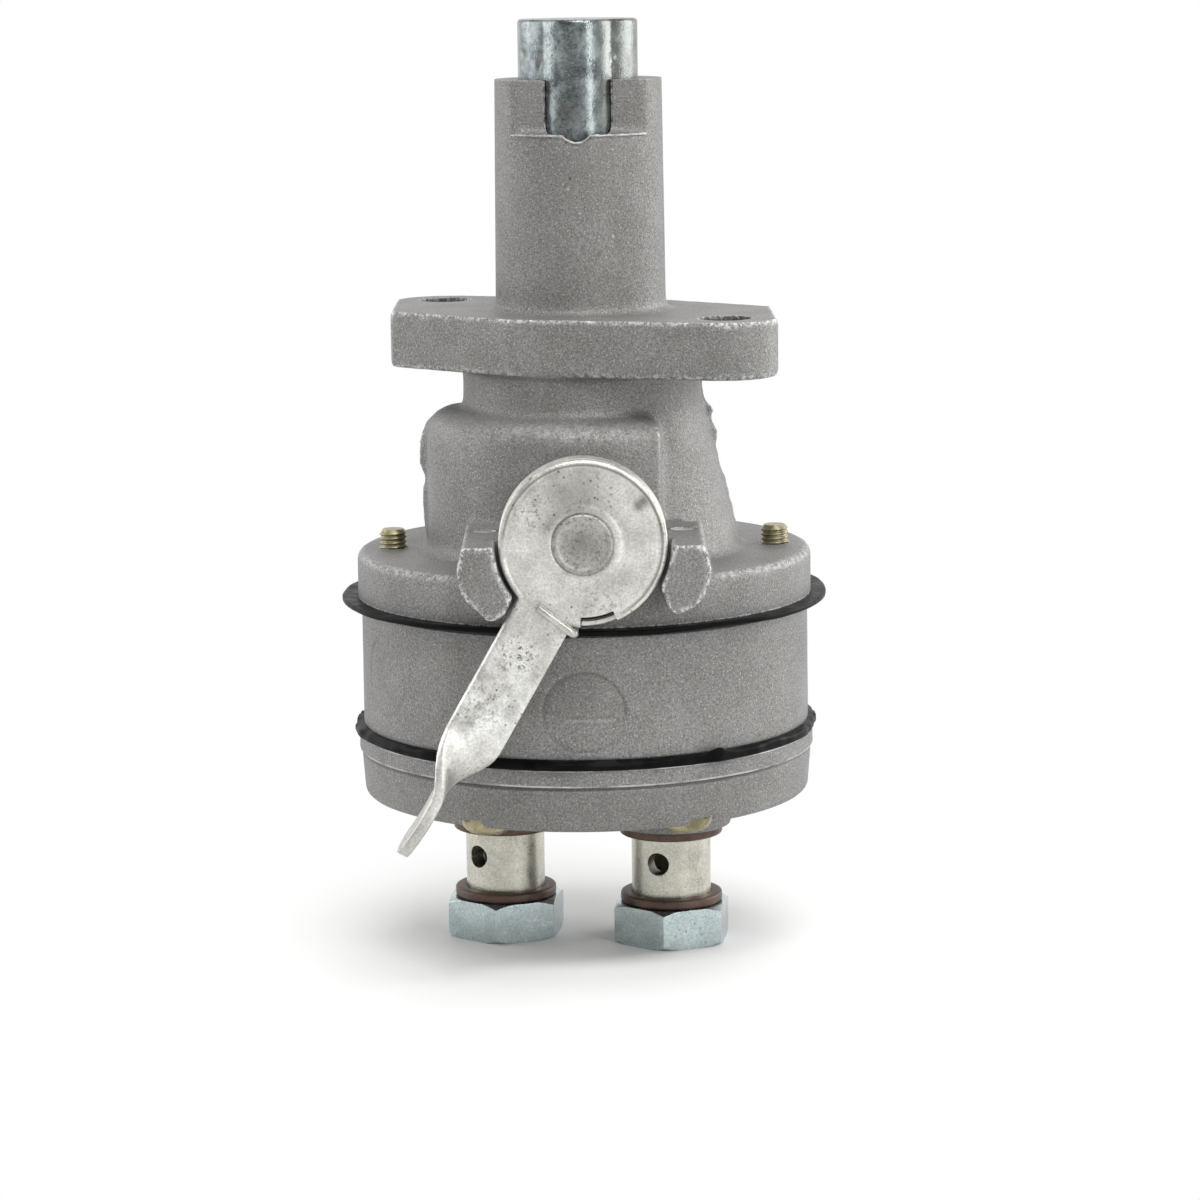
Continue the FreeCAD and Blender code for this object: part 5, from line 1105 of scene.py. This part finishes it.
combine(cup, "DIFFERENCE", prism([(p.x, p.z) for p in slot], 40, 46, along="Y"), notch(12.1, 13.12, -98, -64))
settle(cup, sharp=40)
piece_of(cup, "lever", ["spring_cup"], "plated_lever", plated_lever)

# The priming shaft: turned steel, its front end riveted over the lever's disc with a slightly
# hollow face, an eccentric pin at the inner end.
shaft_outline = corner_round(
    [(0, 8.5), (5, 8.5), (5, 19.3), (4.2, 19.3), (4.2, 20.275), (5, 20.275), (5, 29.22), (3.75, 29.22),
     (3.75, 30.78), (5, 30.78), (5, 45), (3.8, 45), (3.8, 47), (5.05, 47), (5.0, 47.55), (4.5, 47.75),
     (3.9, 47.5), (1.2, 47.35), (0, 47.3)],
    [0, 0.3, 0, 0, 0, 0, 0.1, 0, 0, 0.1, 0, 0, 0, 0.2, 0.3, 0.5, 0.6, 0.5, 0], steps=4)
shaft = finished("primer_shaft", lathe(shaft_outline, 128, "Y", (0, 0, shaft_level)))
pin_turn = math.radians(60.5)
combine(shaft, "UNION", rod(1.5, 4.9, 9.5, x=-3.2 * math.sin(pin_turn), axis="Y",
                            level=shaft_level + 3.2 * math.cos(pin_turn), segments=48))
settle(shaft, sharp=35)
riveted_end, surface = plated("riveted_end", (0.46, 0.45, 0.42), (0.36, 0.35, 0.32), 0.9, 0.45, 0.7)
tree = riveted_end.node_tree
tree.links.new(strongest(tree, spots(tree, (-0.4, -47.5, -34.0, 0.3, 3.2, 0.55))), surface.inputs["Stain_and_shade"])
surface.inputs["Soiled"].default_value = 0.4
piece_of(shaft, "lever", ["priming_shaft"], "plated_lever", riveted_end)


# The lever spring: a torsion spring of round wire in the cup. One end is bent through the slot and
# hooked over the arm, the other goes back into the block.
def wire(name, route, radius, sides=20):
    """A round wire along a route of points."""
    path = [Vector(point) for point in route]
    rings, hint = [], None
    mesh = bmesh.new()
    for k, point in enumerate(path):
        way = (path[min(k + 1, len(path) - 1)] - path[max(k - 1, 0)]).normalized()
        hint = hint or way.cross(Vector((0.2, 0.9, 0.4))).normalized()
        side = (hint - way * hint.dot(way)).normalized()
        hint, other = side, way.cross(side)
        around = [2 * math.pi * j / sides for j in range(sides)]
        rings.append([mesh.verts.new((point + side * (radius * math.cos(b))
                                      + other * (radius * math.sin(b))) * MM) for b in around])
    return finished(name, loft(mesh, rings), sharp=50)


def eased(points, radius, steps=6):
    """A route with each inner corner rounded."""
    return corner_round(points, [0] + [radius] * (len(points) - 2) + [0], steps)


front_reach = lever_back - 0.8 - lever_wire - 0.05
across = lever_front + lever_wire + 0.05
hook_root = centre + hook_way * hook_reach
hook_lean = math.radians(8)
hook_line = arm_side * math.cos(hook_lean) + arm_way * math.sin(hook_lean)
hook = eased([hook_root + Vector((0, -across, 0)) - hook_line * 7.4, hook_root + Vector((0, -across, 0)),
              hook_root + Vector((0, -front_reach, 0)),
              centre + hook_way * coil_reach + Vector((0, -front_reach, 0))], 0.9)
start_angle = math.atan2(hook_way.z, hook_way.x)
turns = 1 + (math.pi / 2 - start_angle) / (2 * math.pi)
winding = []
for k in range(int(turns * 96) + 1):
    angle = start_angle + k / int(turns * 96) * turns * 2 * math.pi
    winding.append(Vector((coil_reach * math.cos(angle), -(front_reach - 1.55 * turns * k / int(turns * 96)),
                           shaft_level + coil_reach * math.sin(angle))))
spring = wire("torsion_spring", hook[:-1] + winding, lever_wire)
last = winding[-1]
leg = wire("torsion_spring_leg", [last, Vector((last.x, -36.0, last.z)), Vector((last.x, -28.8, last.z)),
                                  Vector((last.x, -24.8, last.z))], lever_wire)
spring_wire, surface = plated("spring_wire", (0.62, 0.61, 0.57), (0.44, 0.43, 0.40), 0.3, 0.30, 0.9)
piece_of(spring, "lever", ["lever_spring"], "spring_wire", spring_wire)
piece_of(leg, "pump", [], "spring_wire", spring_wire)

# The return spring: a coil of spring steel wire. It stands on the housing's floor round the rod. In the
# pump it shortens as the rod's seat comes down on it; here it is built at one length.
coil_low, coil_high = (corner[2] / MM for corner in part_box("return_spring"))
wire_radius, coil_radius, coil_turns = 0.6, 7.5, 5
rise = coil_high - coil_low - 2 * wire_radius
coil_route = []
for k in range(coil_turns * 48 + 1):
    share = k / (coil_turns * 48)
    pitch = min(max((share * coil_turns - 0.8) / (coil_turns - 1.6), 0), 1)
    angle = 2 * math.pi * coil_turns * share
    coil_route.append((coil_radius * math.cos(angle), coil_radius * math.sin(angle),
                       coil_low + wire_radius + rise * pitch))
return_coil = wire("return_coil", coil_route, wire_radius, 12)
spring_steel, surface = plated("spring_steel", (0.30, 0.30, 0.31), (0.20, 0.20, 0.21), 0.2, 0.32, 1.0)
piece_of(return_coil, "pump", ["return_spring"], "spring_steel", spring_steel)
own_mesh(return_coil)

# The pieces inside keep their CAD shapes: turned steel and brass parts and small springs. Each takes
# the finish of its slot.
bright_steel, surface = plated("bright_steel", (0.50, 0.49, 0.46), (0.30, 0.29, 0.27), 0.8, 0.36, 0.9)
brass, surface = plated("brass", (0.70, 0.52, 0.24), (0.50, 0.36, 0.15), 0.2, 0.28, 1.0)
finishes = {"cast_aluminium": cast_aluminium, "plated_tappet": plated_tappet,
            "plated_lever": plated_lever, "plated_bolt": plated_bolt,
            "yellow_plated_screw": yellow_plated_screw, "bright_steel": bright_steel,
            "spring_steel": spring_steel, "spring_wire": spring_wire, "black_rubber": black_rubber,
            "brass": brass, "copper_washer": copper_washer}
for part in frame["record"]["subparts"]:
    node = frame["nodes"][part["node"]]
    node.data.materials.clear()
    node.data.materials.append(finishes[part["material_slot"]])
